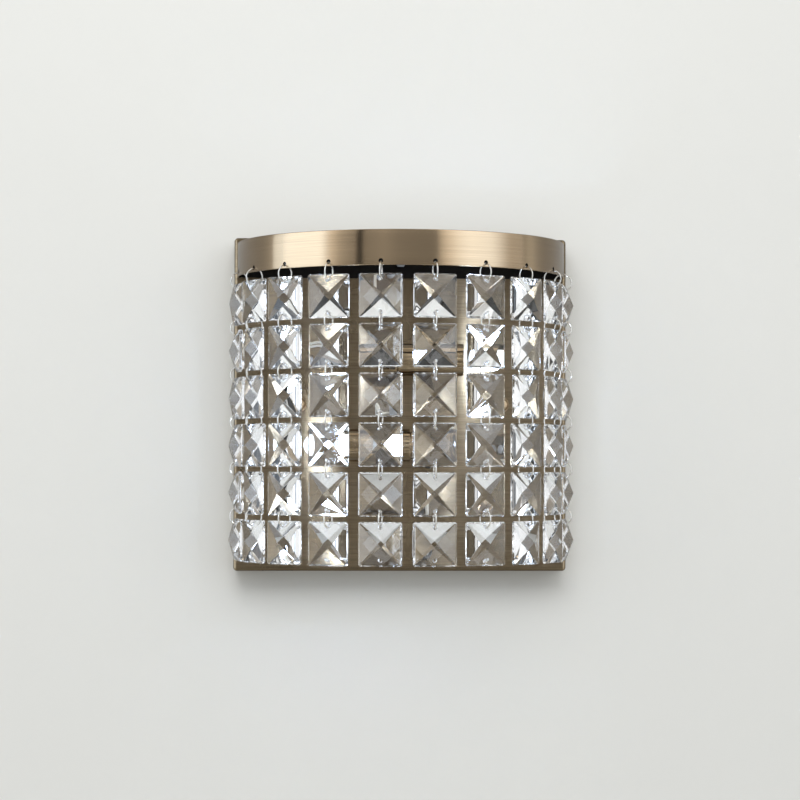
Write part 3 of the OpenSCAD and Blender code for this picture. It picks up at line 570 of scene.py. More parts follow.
def cap_blank():
    """The cap's band before drilling: a half-round hoop with rounded edges."""
    cap = bpy.context.scene.sconce_cap
    low, high = BAND_LOW.z, BAND_HIGH.z
    outer, inner, edge = cap.radius, cap.radius - cap.wall, cap.edge
    lip, margin, steps = 0.3 * MM, 5 * MM, 180
    profile = [(inner, low + lip), (inner + lip, low)]
    profile += arc((outer - edge, low + edge), edge, -90, 0, 4)
    profile += [(outer, low + margin), (outer, high - margin)]
    profile += arc((outer - edge, high - edge), edge, 0, 90, 4)
    profile += [(inner + lip, high), (inner, high - lip)]
    bm = bmesh.new()
    sections = []
    for i in range(steps + 1):
        turn = math.radians(-90 + 180 * i / steps)
        sections.append([bm.verts.new((r * math.sin(turn), FACE_Y - r * math.cos(turn), z))
                         for r, z in profile])
    join_rings(bm, sections)
    bm.faces.new(sections[0])
    bm.faces.new(sections[-1])
    bmesh.ops.remove_doubles(bm, verts=bm.verts, dist=1e-6)
    bmesh.ops.dissolve_degenerate(bm, edges=bm.edges, dist=1e-6)
    return mesh_from(bm, "cap_blank")


def drill_holes(tree, body, hole, spots, turn, depth, sides, lining):
    """Drills a round hole at each spot of a body and gives the holes' walls a material."""
    bore = add(tree, "ShaderNodeMath", {0: hole, 1: 0.5}, operation="MULTIPLY")
    drill = add(tree, "GeometryNodeMeshCylinder", {
        "Vertices": sides, "Radius": bore, "Depth": depth})
    lined = add(tree, "GeometryNodeSetMaterial", {"Geometry": drill, "Material": lining})
    drills = add(tree, "GeometryNodeInstanceOnPoints", {
        "Points": spots, "Instance": lined, "Rotation": turn})
    solid = add(tree, "GeometryNodeRealizeInstances", {0: drills})
    return add(tree, "GeometryNodeMeshBoolean", {0: body, 1: solid}, operation="DIFFERENCE")


def coat_rest(tree, body, lining, finish):
    """Gives its material to every face that has not got the lining of a hole."""
    lined = add(tree, "GeometryNodeMaterialSelection", {0: lining})
    rest = add(tree, "FunctionNodeBooleanMath", {0: lined}, operation="NOT")
    return add(tree, "GeometryNodeSetMaterial", {
        "Geometry": body, "Selection": rest, "Material": finish})


def cap_tree():
    """Drills the string holes and gives the inside its paint."""
    tree, ask, keys = new_tree("drilled_cap", {
        "Count": "Int", "Pitch": "Float", "Radius": "Float", "Wall": "Float",
        "Hole": "Float", "Hole Z": "Float", "Face Y": "Float",
        "Brass": "Material", "Paint": "Material"})
    points = add(tree, "GeometryNodePoints", {"Count": ask["Count"]})
    index = add(tree, "GeometryNodeInputIndex")
    last = add(tree, "ShaderNodeMath", {0: ask["Count"], 1: 1.0}, operation="SUBTRACT")
    middle = add(tree, "ShaderNodeMath", {0: last, 1: -0.5}, operation="MULTIPLY")
    place = add(tree, "ShaderNodeMath", {0: index, 1: middle})
    turn = add(tree, "ShaderNodeMath", {0: place, 1: ask["Pitch"]}, operation="MULTIPLY")
    sine = add(tree, "ShaderNodeMath", {0: turn}, operation="SINE")
    cosine = add(tree, "ShaderNodeMath", {0: turn}, operation="COSINE")
    side = add(tree, "ShaderNodeMath", {0: sine, 1: ask["Radius"]}, operation="MULTIPLY")
    reach = add(tree, "ShaderNodeMath", {0: cosine, 1: ask["Radius"]}, operation="MULTIPLY")
    front = add(tree, "ShaderNodeMath", {0: ask["Face Y"], 1: reach}, operation="SUBTRACT")
    spot = add(tree, "ShaderNodeCombineXYZ", {"X": side, "Y": front, "Z": ask["Hole Z"]})
    placed = add(tree, "GeometryNodeSetPosition", {"Geometry": points, "Position": spot})
    facing = add(tree, "ShaderNodeCombineXYZ", {"X": math.pi / 2, "Z": turn})
    # The drill is six walls long, so that it comes out at both sides
    deep = add(tree, "ShaderNodeMath", {0: ask["Wall"], 1: 6.0}, operation="MULTIPLY")
    # The holes' walls take the black paint: partly the inside paint run into them, partly
    # painted shade so that each hole shows dark
    cut = drill_holes(tree, ask["Geometry"], ask["Hole"], placed, facing, deep, sides=24,
                      lining=ask["Paint"])
    # The inside is what lies deeper than 0.7 of the wall and doesn't look up
    where = add(tree, "GeometryNodeInputPosition")
    apart = add(tree, "ShaderNodeSeparateXYZ", {0: where}).outputs
    from_face = add(tree, "ShaderNodeMath", {0: apart["Y"], 1: ask["Face Y"]},
                    operation="SUBTRACT")
    flat = add(tree, "ShaderNodeCombineXYZ", {"X": apart["X"], "Y": from_face})
    away = add(tree, "ShaderNodeVectorMath", {0: flat}, operation="LENGTH")
    limit = add(tree, "ShaderNodeMath", {0: ask["Wall"], 1: -0.7, 2: ask["Radius"]},
                operation="MULTIPLY_ADD")
    within = add(tree, "FunctionNodeCompare", {0: away, 1: limit},
                 data_type="FLOAT", operation="LESS_THAN")
    normal = add(tree, "ShaderNodeSeparateXYZ", {0: add(tree, "GeometryNodeInputNormal")})
    not_up = add(tree, "FunctionNodeCompare", {0: normal.outputs["Z"], 1: 0.5},
                 data_type="FLOAT", operation="LESS_THAN")
    inside = add(tree, "FunctionNodeBooleanMath", {0: within, 1: not_up})
    joined = add(tree, "GeometryNodeRealizeInstances", {0: cut})
    brass = coat_rest(tree, joined, ask["Paint"], ask["Brass"])
    paint = add(tree, "GeometryNodeSetMaterial", {
        "Geometry": brass, "Selection": inside, "Material": ask["Paint"]})
    add(tree, "NodeGroupOutput", {0: paint})
    return tree, keys


def crystal_blank():
    """One crystal with its top edge at the origin: two low pyramids on a bevelled square."""
    size = bpy.context.scene.sconce_strings
    half, rim = size.width / 2, size.rim / 2
    cut, table, rise = half - size.corner, half - size.bevel, rim + size.rise
    outline = [(cut, half), (half, cut), (half, -cut), (cut, -half),
               (-cut, -half), (-half, -cut), (-half, cut), (-cut, half)]
    corners = [(table, table), (table, -table), (-table, -table), (-table, table)]
    bm = bmesh.new()
    sides = []
    for way in (-1, 1):
        edge = [bm.verts.new((x, way * rim, z - half)) for x, z in outline]
        top = [bm.verts.new((x, way * rise, z - half)) for x, z in corners]
        tip = bm.verts.new((0, way * size.thickness / 2, -half))
        for i in range(4):
            j = (i + 1) % 4
            bm.faces.new((edge[2 * i], edge[2 * i + 1], top[i]))
            bm.faces.new((edge[2 * i + 1], edge[(2 * i + 2) % 8], top[j], top[i]))
            bm.faces.new((top[i], top[j], tip))
        sides.append(edge)
    join_rings(bm, sides)
    bmesh.ops.recalc_face_normals(bm, faces=bm.faces)
    bmesh.ops.bevel(bm, geom=bm.edges[:], offset=size.polish, segments=1, profile=0.5,
                    affect="EDGES", clamp_overlap=True)
    return mesh_from(bm, "crystal_blank")


def hang_rows(tree, ask, piece):
    """Hangs a copy of a piece in each row of a string, and moves the string to its place.

    Each copy has a small seeded turn about the upright axis.
    """
    start = add(tree, "ShaderNodeCombineXYZ", {"Z": ask["Top"]})
    drop = add(tree, "ShaderNodeMath", {0: ask["Row Pitch"], 1: -1.0}, operation="MULTIPLY")
    step = add(tree, "ShaderNodeCombineXYZ", {"Z": drop})
    rows = add(tree, "GeometryNodeMeshLine", {
        "Count": ask["Rows"], "Start Location": start, "Offset": step})
    most = add(tree, "ShaderNodeCombineXYZ", {"Z": ask["Twist"]})
    least = add(tree, "ShaderNodeVectorMath", {0: most, 1: (-1, -1, -1)}, operation="MULTIPLY")
    twist = add(tree, "FunctionNodeRandomValue", {0: least, 1: most, "Seed": ask["Seed"]},
                data_type="FLOAT_VECTOR")
    hung = add(tree, "GeometryNodeInstanceOnPoints", {
        "Points": rows, "Instance": piece, "Rotation": twist})
    out = add(tree, "ShaderNodeMath", {0: ask["Radius"], 1: -1.0}, operation="MULTIPLY")
    shift = add(tree, "ShaderNodeCombineXYZ", {"Y": out})
    moved = add(tree, "GeometryNodeTransform", {"Geometry": hung, "Translation": shift})
    turn = add(tree, "ShaderNodeCombineXYZ", {"Z": ask["Angle"]})
    face = add(tree, "ShaderNodeCombineXYZ", {"Y": ask["Face Y"]})
    placed = add(tree, "GeometryNodeTransform", {
        "Geometry": moved, "Rotation": turn, "Translation": face})
    return add(tree, "GeometryNodeRealizeInstances", {0: placed})


# The inputs that a tree for crystals and one for rings both have
STRING_INPUTS = {"Rows": "Int", "Row Pitch": "Float", "Top": "Float", "Radius": "Float",
                 "Angle": "Float", "Face Y": "Float", "Twist": "Float", "Seed": "Int",
                 "Material": "Material"}


def crystal_tree():
    """Drills a crystal's two holes and hangs a copy of it in every row of a string."""
    tree, ask, keys = new_tree("crystal_string", {
        **STRING_INPUTS, "Width": "Float", "Hole": "Float", "Inset": "Float",
        "Depth": "Float", "Ground": "Material"})
    inset = add(tree, "ShaderNodeMath", {0: ask["Inset"], 1: -1.0}, operation="MULTIPLY")
    first = add(tree, "ShaderNodeCombineXYZ", {"Z": inset})
    edges = add(tree, "ShaderNodeMath", {0: ask["Inset"], 1: 2.0}, operation="MULTIPLY")
    gap = add(tree, "ShaderNodeMath", {0: edges, 1: ask["Width"]}, operation="SUBTRACT")
    step = add(tree, "ShaderNodeCombineXYZ", {"Z": gap})
    spots = add(tree, "GeometryNodeMeshLine", {
        "Count": 2, "Start Location": first, "Offset": step})
    along_y = (math.pi / 2, 0, 0)
    cut = drill_holes(tree, ask["Geometry"], ask["Hole"], spots, along_y, ask["Depth"],
                      sides=20, lining=ask["Ground"])
    ended = coat_rest(tree, hang_rows(tree, ask, cut), ask["Ground"], ask["Material"])
    add(tree, "NodeGroupOutput", {0: ended})
    return tree, keys


def ring_tree():
    """Hangs an open wire ring over every crystal of a string."""
    tree, ask, keys = new_tree("ring_string", {
        **STRING_INPUTS, "Ring": "Float", "Wire": "Float"})
    radius = add(tree, "ShaderNodeMath", {0: ask["Ring"], 1: 0.5}, operation="MULTIPLY")
    # A cut ring closes to within a few degrees, and its gap is at one side
    loop = add(tree, "GeometryNodeCurveArc", {
        "Resolution": 44, "Radius": radius, "Start Angle": math.radians(2),
        "Sweep Angle": math.radians(356)}, mode="RADIUS")
    wire = wire_along(tree, loop, ask["Wire"], sides=10)
    drop = add(tree, "ShaderNodeMath", {0: radius, 1: -1.0}, operation="MULTIPLY")
    down = add(tree, "ShaderNodeCombineXYZ", {"Z": drop})
    upright = add(tree, "GeometryNodeTransform", {
        "Geometry": wire, "Rotation": (0, math.pi / 2, 0), "Translation": down})
    real = hang_rows(tree, ask, upright)
    ended = add(tree, "GeometryNodeSetMaterial", {"Geometry": real, "Material": ask["Material"]})
    add(tree, "NodeGroupOutput", {0: ended})
    return tree, keys


class SCONCE_OT_plate(bpy.types.Operator):
    """Finishes the back plate and its domed nuts in brushed brass"""
    bl_idname = "sconce.plate"
    bl_label = "Back plate"

    def execute(self, context):
        finishes = context.scene.sconce_finishes
        # Its darker brass and patina are partly painted shade, for the plate inside the drum
        brass = brushed_brass("level_brushed_antique_brass", finishes.plate,
                              finishes.plate_patina, axis="X", turn=0.0, polish=0.24,
                              scratch=0.35, lacquer=0.3, evenness=0.2)
        finish_nodes(brass, "back_plate")
        # Turned and antiqued: small, slightly soft highlights on each dome
        turned = metal("turned_antique_brass", finishes.brass, roughness=0.24,
                       fineness=900.0, relief=0.05)
        finish_nodes(turned, "dome_nuts", "dome_nut_washers")
        return {"FINISHED"}


class SCONCE_OT_cap(bpy.types.Operator):
    """Makes the half-round cap with its drilled band"""
    bl_idname = "sconce.cap"
    bl_label = "Cap"

    def execute(self, context):
        scene = context.scene
        cap, strings, finishes = scene.sconce_cap, scene.sconce_strings, scene.sconce_finishes
        # Baked matt: it stays black, with next to no sheen
        paint = solid_finish("black_stove_paint", finishes.paint, roughness=0.6,
                             fineness=700.0, relief=0.08, gloss=0.06)
        brass = brushed_brass("round_brushed_antique_brass", finishes.brass,
                              finishes.patina, axis="Z", turn=0.25, polish=0.14,
                              scratch=0.1, lacquer=0.7, evenness=0.28)
        tree, keys = cap_tree()
        mesh = run_tree(tree, keys, cap_blank(), {
            "Count": strings.count, "Pitch": strings.pitch, "Radius": cap.radius,
            "Wall": cap.wall, "Hole": cap.hole, "Hole Z": BAND_LOW.z + cap.hole_lift,
            "Face Y": FACE_Y, "Paint": paint, "Brass": brass}, "cap_shell")
        smooth(mesh)
        put("cap_shell", mesh, "wall_unit", "brass", "cap_band")
        finish_nodes(paint, "cap_flange")
        return {"FINISHED"}


class SCONCE_OT_strings(bpy.types.Operator):
    """Makes the strings of cut crystals and their rings"""
    bl_idname = "sconce.strings"
    bl_label = "Crystal strings"

    def execute(self, context):
        scene = context.scene
        cap, size, finishes = scene.sconce_cap, scene.sconce_strings, scene.sconce_finishes
        crystal = cut_crystal("polished_cut_crystal", roughness=0.0, streak=0.012)
        ground = cut_crystal("ground_crystal_bore", roughness=0.35, streak=0.2)
        # Plated and bright: a thin white line runs round each ring
        wire = metal("nickel_plated_spring_wire", finishes.nickel, roughness=0.16,
                     fineness=1500.0, relief=0.03)
        crystals, crystal_keys = crystal_tree()
        rings, ring_keys = ring_tree()
        for k in range(1, size.count + 1):
            shared = {"Rows": size.rows, "Radius": cap.radius - cap.wall / 2,
                      "Angle": (k - (size.count + 1) / 2) * size.pitch, "Face Y": FACE_Y,
                      "Row Pitch": size.width - 2 * size.inset + size.ring}
            mesh = run_tree(crystals, crystal_keys, crystal_blank(), {
                **shared, "Top": size.hang - size.ring + size.inset,
                "Twist": size.crystal_twist, "Seed": size.seed * 100 + k,
                "Width": size.width, "Hole": size.hole, "Inset": size.inset,
                "Depth": size.thickness * 2, "Material": crystal,
                "Ground": ground}, f"cut_crystals_{k}")
            hung = put(f"cut_crystals_{k}", mesh, f"string_{k}", "crystal", f"crystals_{k}")
            # Clear crystals leave the wall below them as light as the rest
            hung.visible_shadow = False
            mesh = run_tree(rings, ring_keys, bpy.data.meshes.new("ring_blank"), {
                **shared, "Top": size.hang, "Twist": size.ring_twist,
                "Seed": size.seed * 200 + k, "Ring": size.ring, "Wire": size.wire,
                "Material": wire}, f"wire_rings_{k}")
            smooth(mesh, 60)
            put(f"wire_rings_{k}", mesh, f"string_{k}", "ring_wire", f"rings_{k}")
        return {"FINISHED"}


class SCONCE_OT_lampholders(bpy.types.Operator):
    """Makes the brass covers and finishes the sockets and brackets"""
    bl_idname = "sconce.lampholders"
    bl_label = "Lampholders"

    def execute(self, context):
        lamps, finishes = context.scene.sconce_lamps, context.scene.sconce_finishes
        # Turned marks run round the tube and draw its highlight out
        # Its brass is darker than the band's: partly painted shade, for the covers inside the
        # drum
        brass = brushed_brass("turned_brass_tube_with_painted_shade", linear("#a18c6d"),
                              linear("#78664c"), axis="X", turn=0.25, polish=0.1,
                              scratch=0.1, lacquer=0.6, evenness=0.25)
        low, high = COVER_LOW, COVER_HIGH
        axis_y, axis_z = (low.y + high.y) / 2, (low.z + high.z) / 2
        radius, wall, bend = (high.y - low.y) / 2, lamps.cover_wall, lamps.cover_bend
        lip = wall / 2
        profile = [(low.x + wall, lamps.cover_hole), (low.x, lamps.cover_hole)]
        profile += arc((low.x + bend, radius - bend), bend, 180, 90, 8)
        profile += arc((high.x - lip, radius - lip), lip, 90, -90, 8)
        profile += [(low.x + wall, radius - wall)]
        for side, turn in SIDES:
            mesh = lathe(profile, 96, f"{side}_cover")
            mesh.transform(Matrix.Rotation(turn, 4, "Y")
                           @ Matrix.Translation((0, axis_y, axis_z)))
            mesh.materials.append(brass)
            smooth(mesh)
            put(f"{side}_cover", mesh, "wall_unit", "holder_brass", f"{side}_holder_cover")
        finish_nodes(brass, "upper_holder_bracket", "lower_holder_bracket")
        # Pressed and fired: an even, warm white with a faint sheen
        ceramic = solid_finish("unglazed_steatite", finishes.ceramic, roughness=0.42,
                               fineness=500.0, relief=0.1, coat=0.2)
        finish_nodes(ceramic, "upper_socket", "lower_socket")
        # Bare and bright: clear yellow highlights
        turned = metal("turned_bright_brass", linear("#d9b565"), roughness=0.2,
                       fineness=900.0, relief=0.04)
        finish_nodes(turned, "upper_contacts", "lower_contacts", "earth_screw", "earth_tag",
                     "terminal_sleeves")
        # Plated over rolled or cut steel: a cool grey, softly clouded
        zinc = metal("bright_zinc_plate", finishes.zinc, roughness=0.34, fineness=350.0,
                     relief=0.12)
        finish_nodes(zinc, "bracket_screws", "bracket_nuts", "nipples", "nipple_nuts",
                     "cap_screws", "cap_nuts", "wall_strap", "strap_studs",
                     "stud_lock_nuts", "terminal_screws", "block_screw")
        return {"FINISHED"}


class SCONCE_OT_lamps(bpy.types.Operator):
    """Makes the lit capsule lamps with their pins and filaments"""
    bl_idname = "sconce.lamps"
    bl_label = "Lamps"

    def execute(self, context):
        lamps = context.scene.sconce_lamps
        glass = lit_glass("lit_fused_glass", lamps.glow)
        glow = glowing_wire("white_hot_tungsten", lamps.filament_glow)
        # Drawn through a die: a smooth satin line along each pin
        nickel = metal("drawn_nickel_wire", linear("#c9c8c4"), roughness=0.25,
                       fineness=900.0, relief=0.03)
        axis_y, axis_z = (LAMP_LOW.y + LAMP_HIGH.y) / 2, (LAMP_LOW.z + LAMP_HIGH.z) / 2
        wire = (PIN_HIGH.z - PIN_LOW.z) - lamps.pin_pitch
        loop = (PIN_HIGH.y - PIN_LOW.y - wire) / 2
        pins, stems = [], []
        stem = (COIL_HIGH.z - COIL_LOW.z) / 2 - (COIL_HIGH.y - COIL_LOW.y) / 2
        for side in (-1, 1):
            z = axis_z + side * lamps.pin_pitch / 2
            pins.append([(x, axis_y + y, z) for x, y in
                         [(PIN_HIGH.x, -loop), (LAMP_LOW.x, -loop)]
                         + arc((PIN_LOW.x + wire / 2 + loop, 0), loop, 270, 90, 8)
                         + [(LAMP_LOW.x, loop), (PIN_HIGH.x, loop)]])
            reach = COIL_HIGH.x - lamps.coil_length
            stems.append([(COIL_LOW.x, axis_y, axis_z + side * stem),
                          ((COIL_LOW.x + reach) / 2, axis_y, axis_z + side * stem),
                          (reach, axis_y, axis_z + side * stem)])
        rod, keys = rod_tree()
        for side, turn in SIDES:
            spin = Matrix.Rotation(turn, 4, "Y")
            mesh = capsule()
            mesh.transform(spin @ Matrix.Translation((0, axis_y, axis_z)))
            mesh.materials.append(glass)
            smooth(mesh, 50)
            put(f"{side}_capsule", mesh, f"{side}_lamp", "lamp_glass", f"{side}_lamp_glass")
            bare = run_tree(rod, keys, path_mesh("pin_path", *pins), {
                "Diameter": wire, "Step": 0.4 * MM, "Sides": 12, "Material": nickel},
                f"{side}_pin_loops")
            wound = path_mesh("coil_path", coil_path(lamps, axis_y, axis_z))
            coil = run_tree(rod, keys, wound, {
                "Diameter": lamps.coil_wire, "Step": 0.4 * MM, "Sides": 6,
                "Material": glow}, f"{side}_coil")
            held = run_tree(rod, keys, path_mesh("stem_path", *stems), {
                "Diameter": 0.6 * MM, "Step": 2 * MM, "Sides": 10, "Material": nickel},
                f"{side}_stems")
            for mesh, name, node in ((bare, "pin_loops", "lamp_pins"),
                                     (coil, "coil", "filament"),
                                     (held, "stems", "filament")):
                mesh.transform(spin)
                smooth(mesh, 60)
                put(f"{side}_{name}", mesh, f"{side}_lamp", "lamp_wire", f"{side}_{node}")
        return {"FINISHED"}


def lead_routes():
    """The middle line of each lead, in millimetres, for each CAD node."""
    holder, bush = 28, 38.7

    def from_holder(side):
        return [(7.9, -74, holder + 4.5 * side), (6.1, -74, holder + 4.5 * side),
                (3.8, -74, holder + 1.7 * side), (-2.2, -74, holder + 1.3 * side),
                (-10.9, -74, holder + 1.2 * side), (-15.9, -73, holder + 1.2 * side),
                (-19, -63, bush + 1.1 * side), (-19, -32, bush + 1.1 * side),
                (-19, -21, bush + 1.1 * side)]

    def from_lower(side):
        return [(-x, y, -z) for x, y, z in from_holder(side)]

    def into_block(x, side):
        return [(x + 9.6 * side, -9, 5.5), (x + 8.6 * side, -8.5, 11.5),
                (x + 4.8 * side, -8, 14.5), (x + 1.2 * side, -8, 12.5), (x, -8, 8.5),
                (x, -8, 1)]

    return {
        "upper_leads": (
            from_holder(-1) + [(-16, -15, 35.2), (-14, -11, 20.5), (-10.5, -9, 16.5),
                               (-8.56, -8, 11.5), (-8.56, -8, 1)],
            from_holder(1) + [(-15, -16, 38.7), (-5, -13.5, 24.5), (-1, -12.5, 21.5),
                              (6.5, -9.5, 16.5), (8.56, -8, 11.5), (8.56, -8, 1)]),
        "lower_leads": (
            from_lower(-1) + [(18.5, -15, -32.7), (20.5, -11, -8)] + into_block(10.44, 1),
            from_lower(1) + [(14, -15, -40.7), (5, -13, -38.7), (-11.5, -13, -35.7),
                             (-18.5, -12, -26.7), (-20, -10, -4)] + into_block(-10.44, -1)),
        "earth_lead": (
            [(0, -8, 1), (0, -8, 8.5), (-1, -11.5, 12), (-6.4, -17.2, 15.1),
             (-8.4, -21.2, 18.6), (-8.4, -21.2, 23.1)],)}


class SCONCE_OT_wiring(bpy.types.Operator):
    """Makes the leads and finishes the bushes and the terminal block"""
    bl_idname = "sconce.wiring"
    bl_label = "Wiring"

    def execute(self, context):
        wiring = context.scene.sconce_wiring
        # Moulded: dull, with a grain that breaks any highlight up
        rubber = solid_finish("moulded_black_rubber", linear("#1c1b1a"), roughness=0.6,
                              fineness=800.0, relief=0.2)
        finish_nodes(rubber, "lead_bushes")
        # Moulded and uncoloured: a creamy white with a soft sheen
        block = solid_finish("natural_moulded_nylon", linear("#e6e2d6"), roughness=0.4,
                             fineness=600.0, relief=0.08)
        finish_nodes(block, "terminal_block")
        sleeves = {"upper_leads": "#e6e1d5", "lower_leads": "#e6e1d5",
                   "earth_lead": "#8fa24a"}
        rod, keys = rod_tree()
        for node, routes in lead_routes().items():
            paths = [[tuple(v * MM for v in point) for point in route] for route in routes]
            sleeve = braided(f"{node}_glass_fibre_sleeve", linear(sleeves[node]),
                             wiring.braid)
            mesh = run_tree(rod, keys, path_mesh("lead_path", *paths), {
                "Diameter": wiring.sleeve, "Step": 0.8 * MM, "Sides": 16,
                "Material": sleeve}, f"{node}_sleeve")
            smooth(mesh, 60)
            put(f"{node}_sleeve", mesh, "wall_unit", "lead_sleeve", node)
        return {"FINISHED"}


class SCONCE_OT_stage(bpy.types.Operator):
    """Sets up the wall, the floor, the studio light and the camera"""
    bl_idname = "sconce.stage"
    bl_label = "Stage"

    def execute(self, context):
        finishes = context.scene.sconce_finishes
        mesh = self.backdrop()
        mesh.materials.append(one_way("matt_wall_paint", finishes.wall, finishes.painted_shade))
        smooth(mesh)
        wall = bpy.data.objects.new("wall_and_floor", mesh)
        context.scene.collection.objects.link(wall)
        self.add_lights(context)
        self.add_world(context)
        self.add_camera(context)
        context.scene.view_settings.view_transform = "Standard"
        return {"FINISHED"}

    def backdrop(self):
        """A wall that bends into a floor, with an opening behind the plate.

        The opening lets light reach the pieces on the plate's back.
        """
        half, top, floor, bend, front = 3.0, 2.4, -1.3, 0.5, -3.4
        opening, clearance = PLATE_HIGH.x - 2 * MM, 0.4 * MM
        line = [(0.0, top), (0.0, opening), (0.0, -opening), (0.0, floor + bend)]
        line += [(-bend + y, floor + bend + z) for y, z in arc((0, 0), bend, 0, -90, 12)][1:]
        line += [(front, floor)]
        bm = bmesh.new()
        rows = [[bm.verts.new((x, y + clearance, z)) for x in (-half, -opening, opening, half)]
                for y, z in line]
        for i, (here, there) in enumerate(zip(rows, rows[1:])):
            for j in range(3):
                if (i, j) != (1, 1):
                    bm.faces.new((here[j], there[j], there[j + 1], here[j + 1]))
        return mesh_from(bm, "wall_and_floor", turn_out=False)

    def add_lights(self, context):
        """A soft box that lights the wall, and a feathered one at each side, seen in gloss.

        Each has its angle round and up in degrees, its distance, width and height in
        metres, its power, and for gloss the shares of its width over which it fades.
        """
        boxes = (("front_box", -7, 38, 1.8, 1.2, 1.0, 15.0, None),
                 ("left_box", -74, 3, 0.5, 0.56, 0.7, 2.1, (0.5, 0.15)),
                 ("right_box", 52, 10, 1.7, 1.66, 1.9, 13.0, (0.4, 0.4)))
        # A cool white, so that it is a plain white once brass has reflected it
        cool = (0.82, 1.0, 1.24)
        for name, round_by, climb, away, wide, high, power, fade in boxes:
            side, up = math.radians(round_by), math.radians(climb)
            spot = Vector((math.sin(side) * math.cos(up), -math.cos(side) * math.cos(up),
                           math.sin(up))) * away
            data = bpy.data.lights.new(name, "AREA")
            data.shape = "RECTANGLE"
            data.size, data.size_y, data.energy = wide, high, power
            if fade:
                data.color = cool
                self.feather(data, *fade)
            light = bpy.data.objects.new(name, data)
            aim = (-spot).to_track_quat("-Z", "Y")
            light.matrix_world = Matrix.Translation(spot) @ aim.to_matrix().to_4x4()
            light.visible_camera = False
            light.visible_diffuse = not fade
            light.visible_glossy = bool(fade)
            light.visible_transmission = bool(fade)
            context.scene.collection.objects.link(light)

    def feather(self, data, left, right):
        """Lets a box's brightness rise from its upright edges over shares of its width."""
        data.use_nodes = True
        tree = data.node_tree
        tree.nodes.clear()
        place = add(tree, "ShaderNodeNewGeometry").outputs["Parametric"]
        across = add(tree, "ShaderNodeSeparateXYZ", {0: place}).outputs["X"]
        rise = add(tree, "ShaderNodeMapRange", {
            "Value": across, "From Min": 0.0, "From Max": left}, interpolation_type="SMOOTHSTEP")
        fall = add(tree, "ShaderNodeMapRange", {
            "Value": across, "From Min": 1.0, "From Max": 1.0 - right},
            interpolation_type="SMOOTHSTEP")
        level = add(tree, "ShaderNodeMath", {0: rise, 1: fall}, operation="MULTIPLY")
        shine = add(tree, "ShaderNodeEmission", {"Strength": level})
        add(tree, "ShaderNodeOutputLight", {"Surface": shine})

    def add_world(self, context):
        """A light tent: bright sides, open to the dim room round the camera."""
        world = bpy.data.worlds.new("soft_studio")
        world.use_nodes = True
        tree = world.node_tree
        tree.nodes.clear()
        place = add(tree, "ShaderNodeTexCoord").outputs["Generated"]
        way = add(tree, "ShaderNodeSeparateXYZ", {0: place}).outputs
        ahead = add(tree, "ShaderNodeMath", {0: way["Y"], 1: -1.0}, operation="MULTIPLY")
        turn = add(tree, "ShaderNodeMath", {0: way["X"], 1: ahead}, operation="ARCTAN2")
        round_part = add(tree, "ShaderNodeMapRange", {
            "Value": turn, "From Min": -math.pi, "From Max": math.pi})
        # Brightness of the tent by the angle from straight ahead, in degrees to the right
        sides = ((-180, 0.35), (-105, 0.5), (-94, 0.85), (-86, 0.95), (-57, 0.95),
                 (-52, 1.25), (-49, 1.05), (-45.5, 0.75), (-39, 0.56), (-33.5, 0.46),
                 (-32.3, 0.02), (-29.3, 0.02), (-28.0, 0.42), (-14, 0.52), (-4, 0.40),
                 (10, 0.35), (22.5, 0.32), (26, 0.95), (30, 1.25), (36, 1.30), (44, 1.12),
                 (60, 1.0), (72, 0.90), (86, 0.80), (180, 0.35))
        warmth = (1.0, 0.995, 0.98)
        tent = add(tree, "ShaderNodeValToRGB", {0: round_part})
        stops = tent.color_ramp.elements
        for angle, _ in sides[1:-1]:
            stops.new((angle + 180) / 360)
        for stop, (angle, level) in zip(stops, sides):
            stop.position = (angle + 180) / 360
            stop.color = (*(level * part for part in warmth), 1)
        # It is lighter towards the top
        climb = add(tree, "ShaderNodeMapRange", {
            "Value": way["Z"], "From Min": -0.6, "From Max": 0.5, "To Min": 0.5, "To Max": 1.4})
        shade = add(tree, "ShaderNodeHueSaturation", {"Color": tent, "Value": climb})
        seen = add(tree, "ShaderNodeLightPath").outputs["Is Camera Ray"]
        mix = add(tree, "ShaderNodeMix", {0: seen, 6: shade, 7: linear("#e6e6e5")},
                  data_type="RGBA")
        back = add(tree, "ShaderNodeBackground", {"Color": mix})
        add(tree, "ShaderNodeOutputWorld", {"Surface": back})
        context.scene.world = world

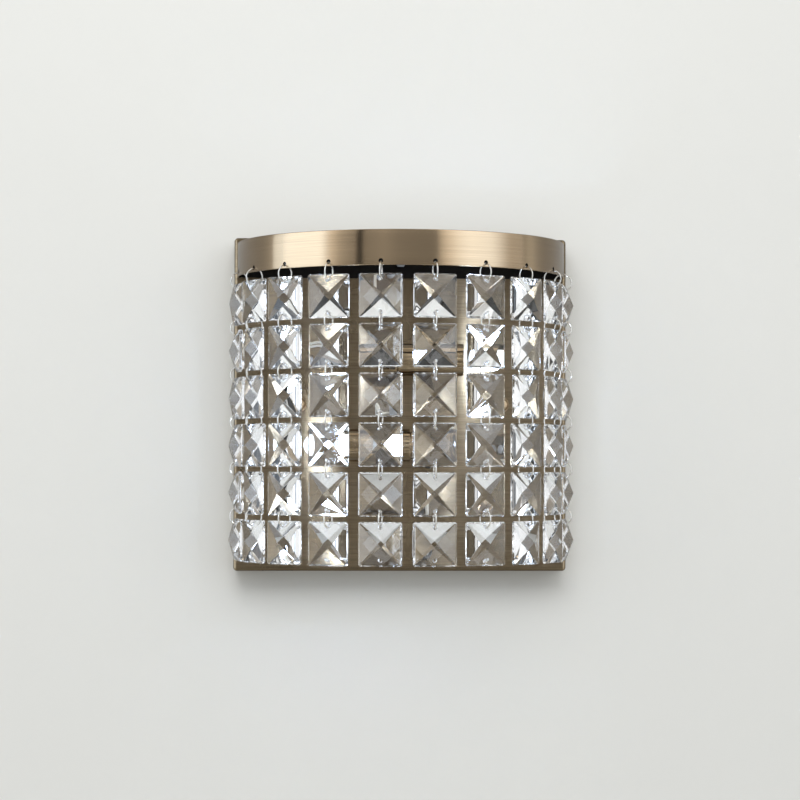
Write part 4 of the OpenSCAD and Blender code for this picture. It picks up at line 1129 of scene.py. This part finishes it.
    def add_camera(self, context):
        """The photograph's camera: 1.6 m from the wall, a little left and below."""
        spot, sensor, lens = (-0.0683, -1.599, -0.0411), 36.0, 104.83
        yaw, pitch, roll = (math.radians(v) for v in (2.474, 1.606, 0.123))
        ahead = Vector((math.sin(yaw) * math.cos(pitch), math.cos(yaw) * math.cos(pitch),
                        math.sin(pitch)))
        level = Vector((math.cos(yaw), -math.sin(yaw), 0))
        above = level.cross(ahead)
        right = math.cos(roll) * level + math.sin(roll) * above
        up = math.cos(roll) * above - math.sin(roll) * level
        data = bpy.data.cameras.new("camera")
        data.sensor_width, data.lens = sensor, lens
        camera = bpy.data.objects.new("camera", data)
        turn = Matrix((right, up, -ahead)).transposed().to_4x4()
        camera.matrix_world = Matrix.Translation(spot) @ turn
        context.scene.collection.objects.link(camera)
        context.scene.camera = camera


class SCONCE_PT_panel(bpy.types.Panel):
    """Lists the pieces of the wall light and their sizes"""
    bl_idname = "SCONCE_PT_panel"
    bl_label = "Wall sconce"
    bl_space_type = "VIEW_3D"
    bl_region_type = "UI"
    bl_category = "Sconce"

    def draw(self, context):
        for operator in OPERATORS:
            self.layout.operator(operator.bl_idname)
        for name in GROUPS:
            box, group = self.layout.box(), getattr(context.scene, name)
            for size in group.__annotations__:
                box.prop(group, size)


GROUPS = {"sconce_cap": SCONCE_PG_cap, "sconce_strings": SCONCE_PG_strings,
          "sconce_lamps": SCONCE_PG_lamps, "sconce_wiring": SCONCE_PG_wiring,
          "sconce_finishes": SCONCE_PG_finishes}
OPERATORS = (SCONCE_OT_stage, SCONCE_OT_plate, SCONCE_OT_cap, SCONCE_OT_strings,
             SCONCE_OT_lampholders, SCONCE_OT_lamps, SCONCE_OT_wiring)


def register():
    for kind in (*GROUPS.values(), *OPERATORS, SCONCE_PT_panel):
        bpy.utils.register_class(kind)
    for name, kind in GROUPS.items():
        setattr(bpy.types.Scene, name, PointerProperty(type=kind))


def unregister():
    for name in GROUPS:
        delattr(bpy.types.Scene, name)
    for kind in (SCONCE_PT_panel, *reversed(OPERATORS), *GROUPS.values()):
        bpy.utils.unregister_class(kind)


def main():
    register()
    for operator in OPERATORS:
        group, name = operator.bl_idname.split(".")
        getattr(getattr(bpy.ops, group), name)()


if __name__ == "__main__":
    main()
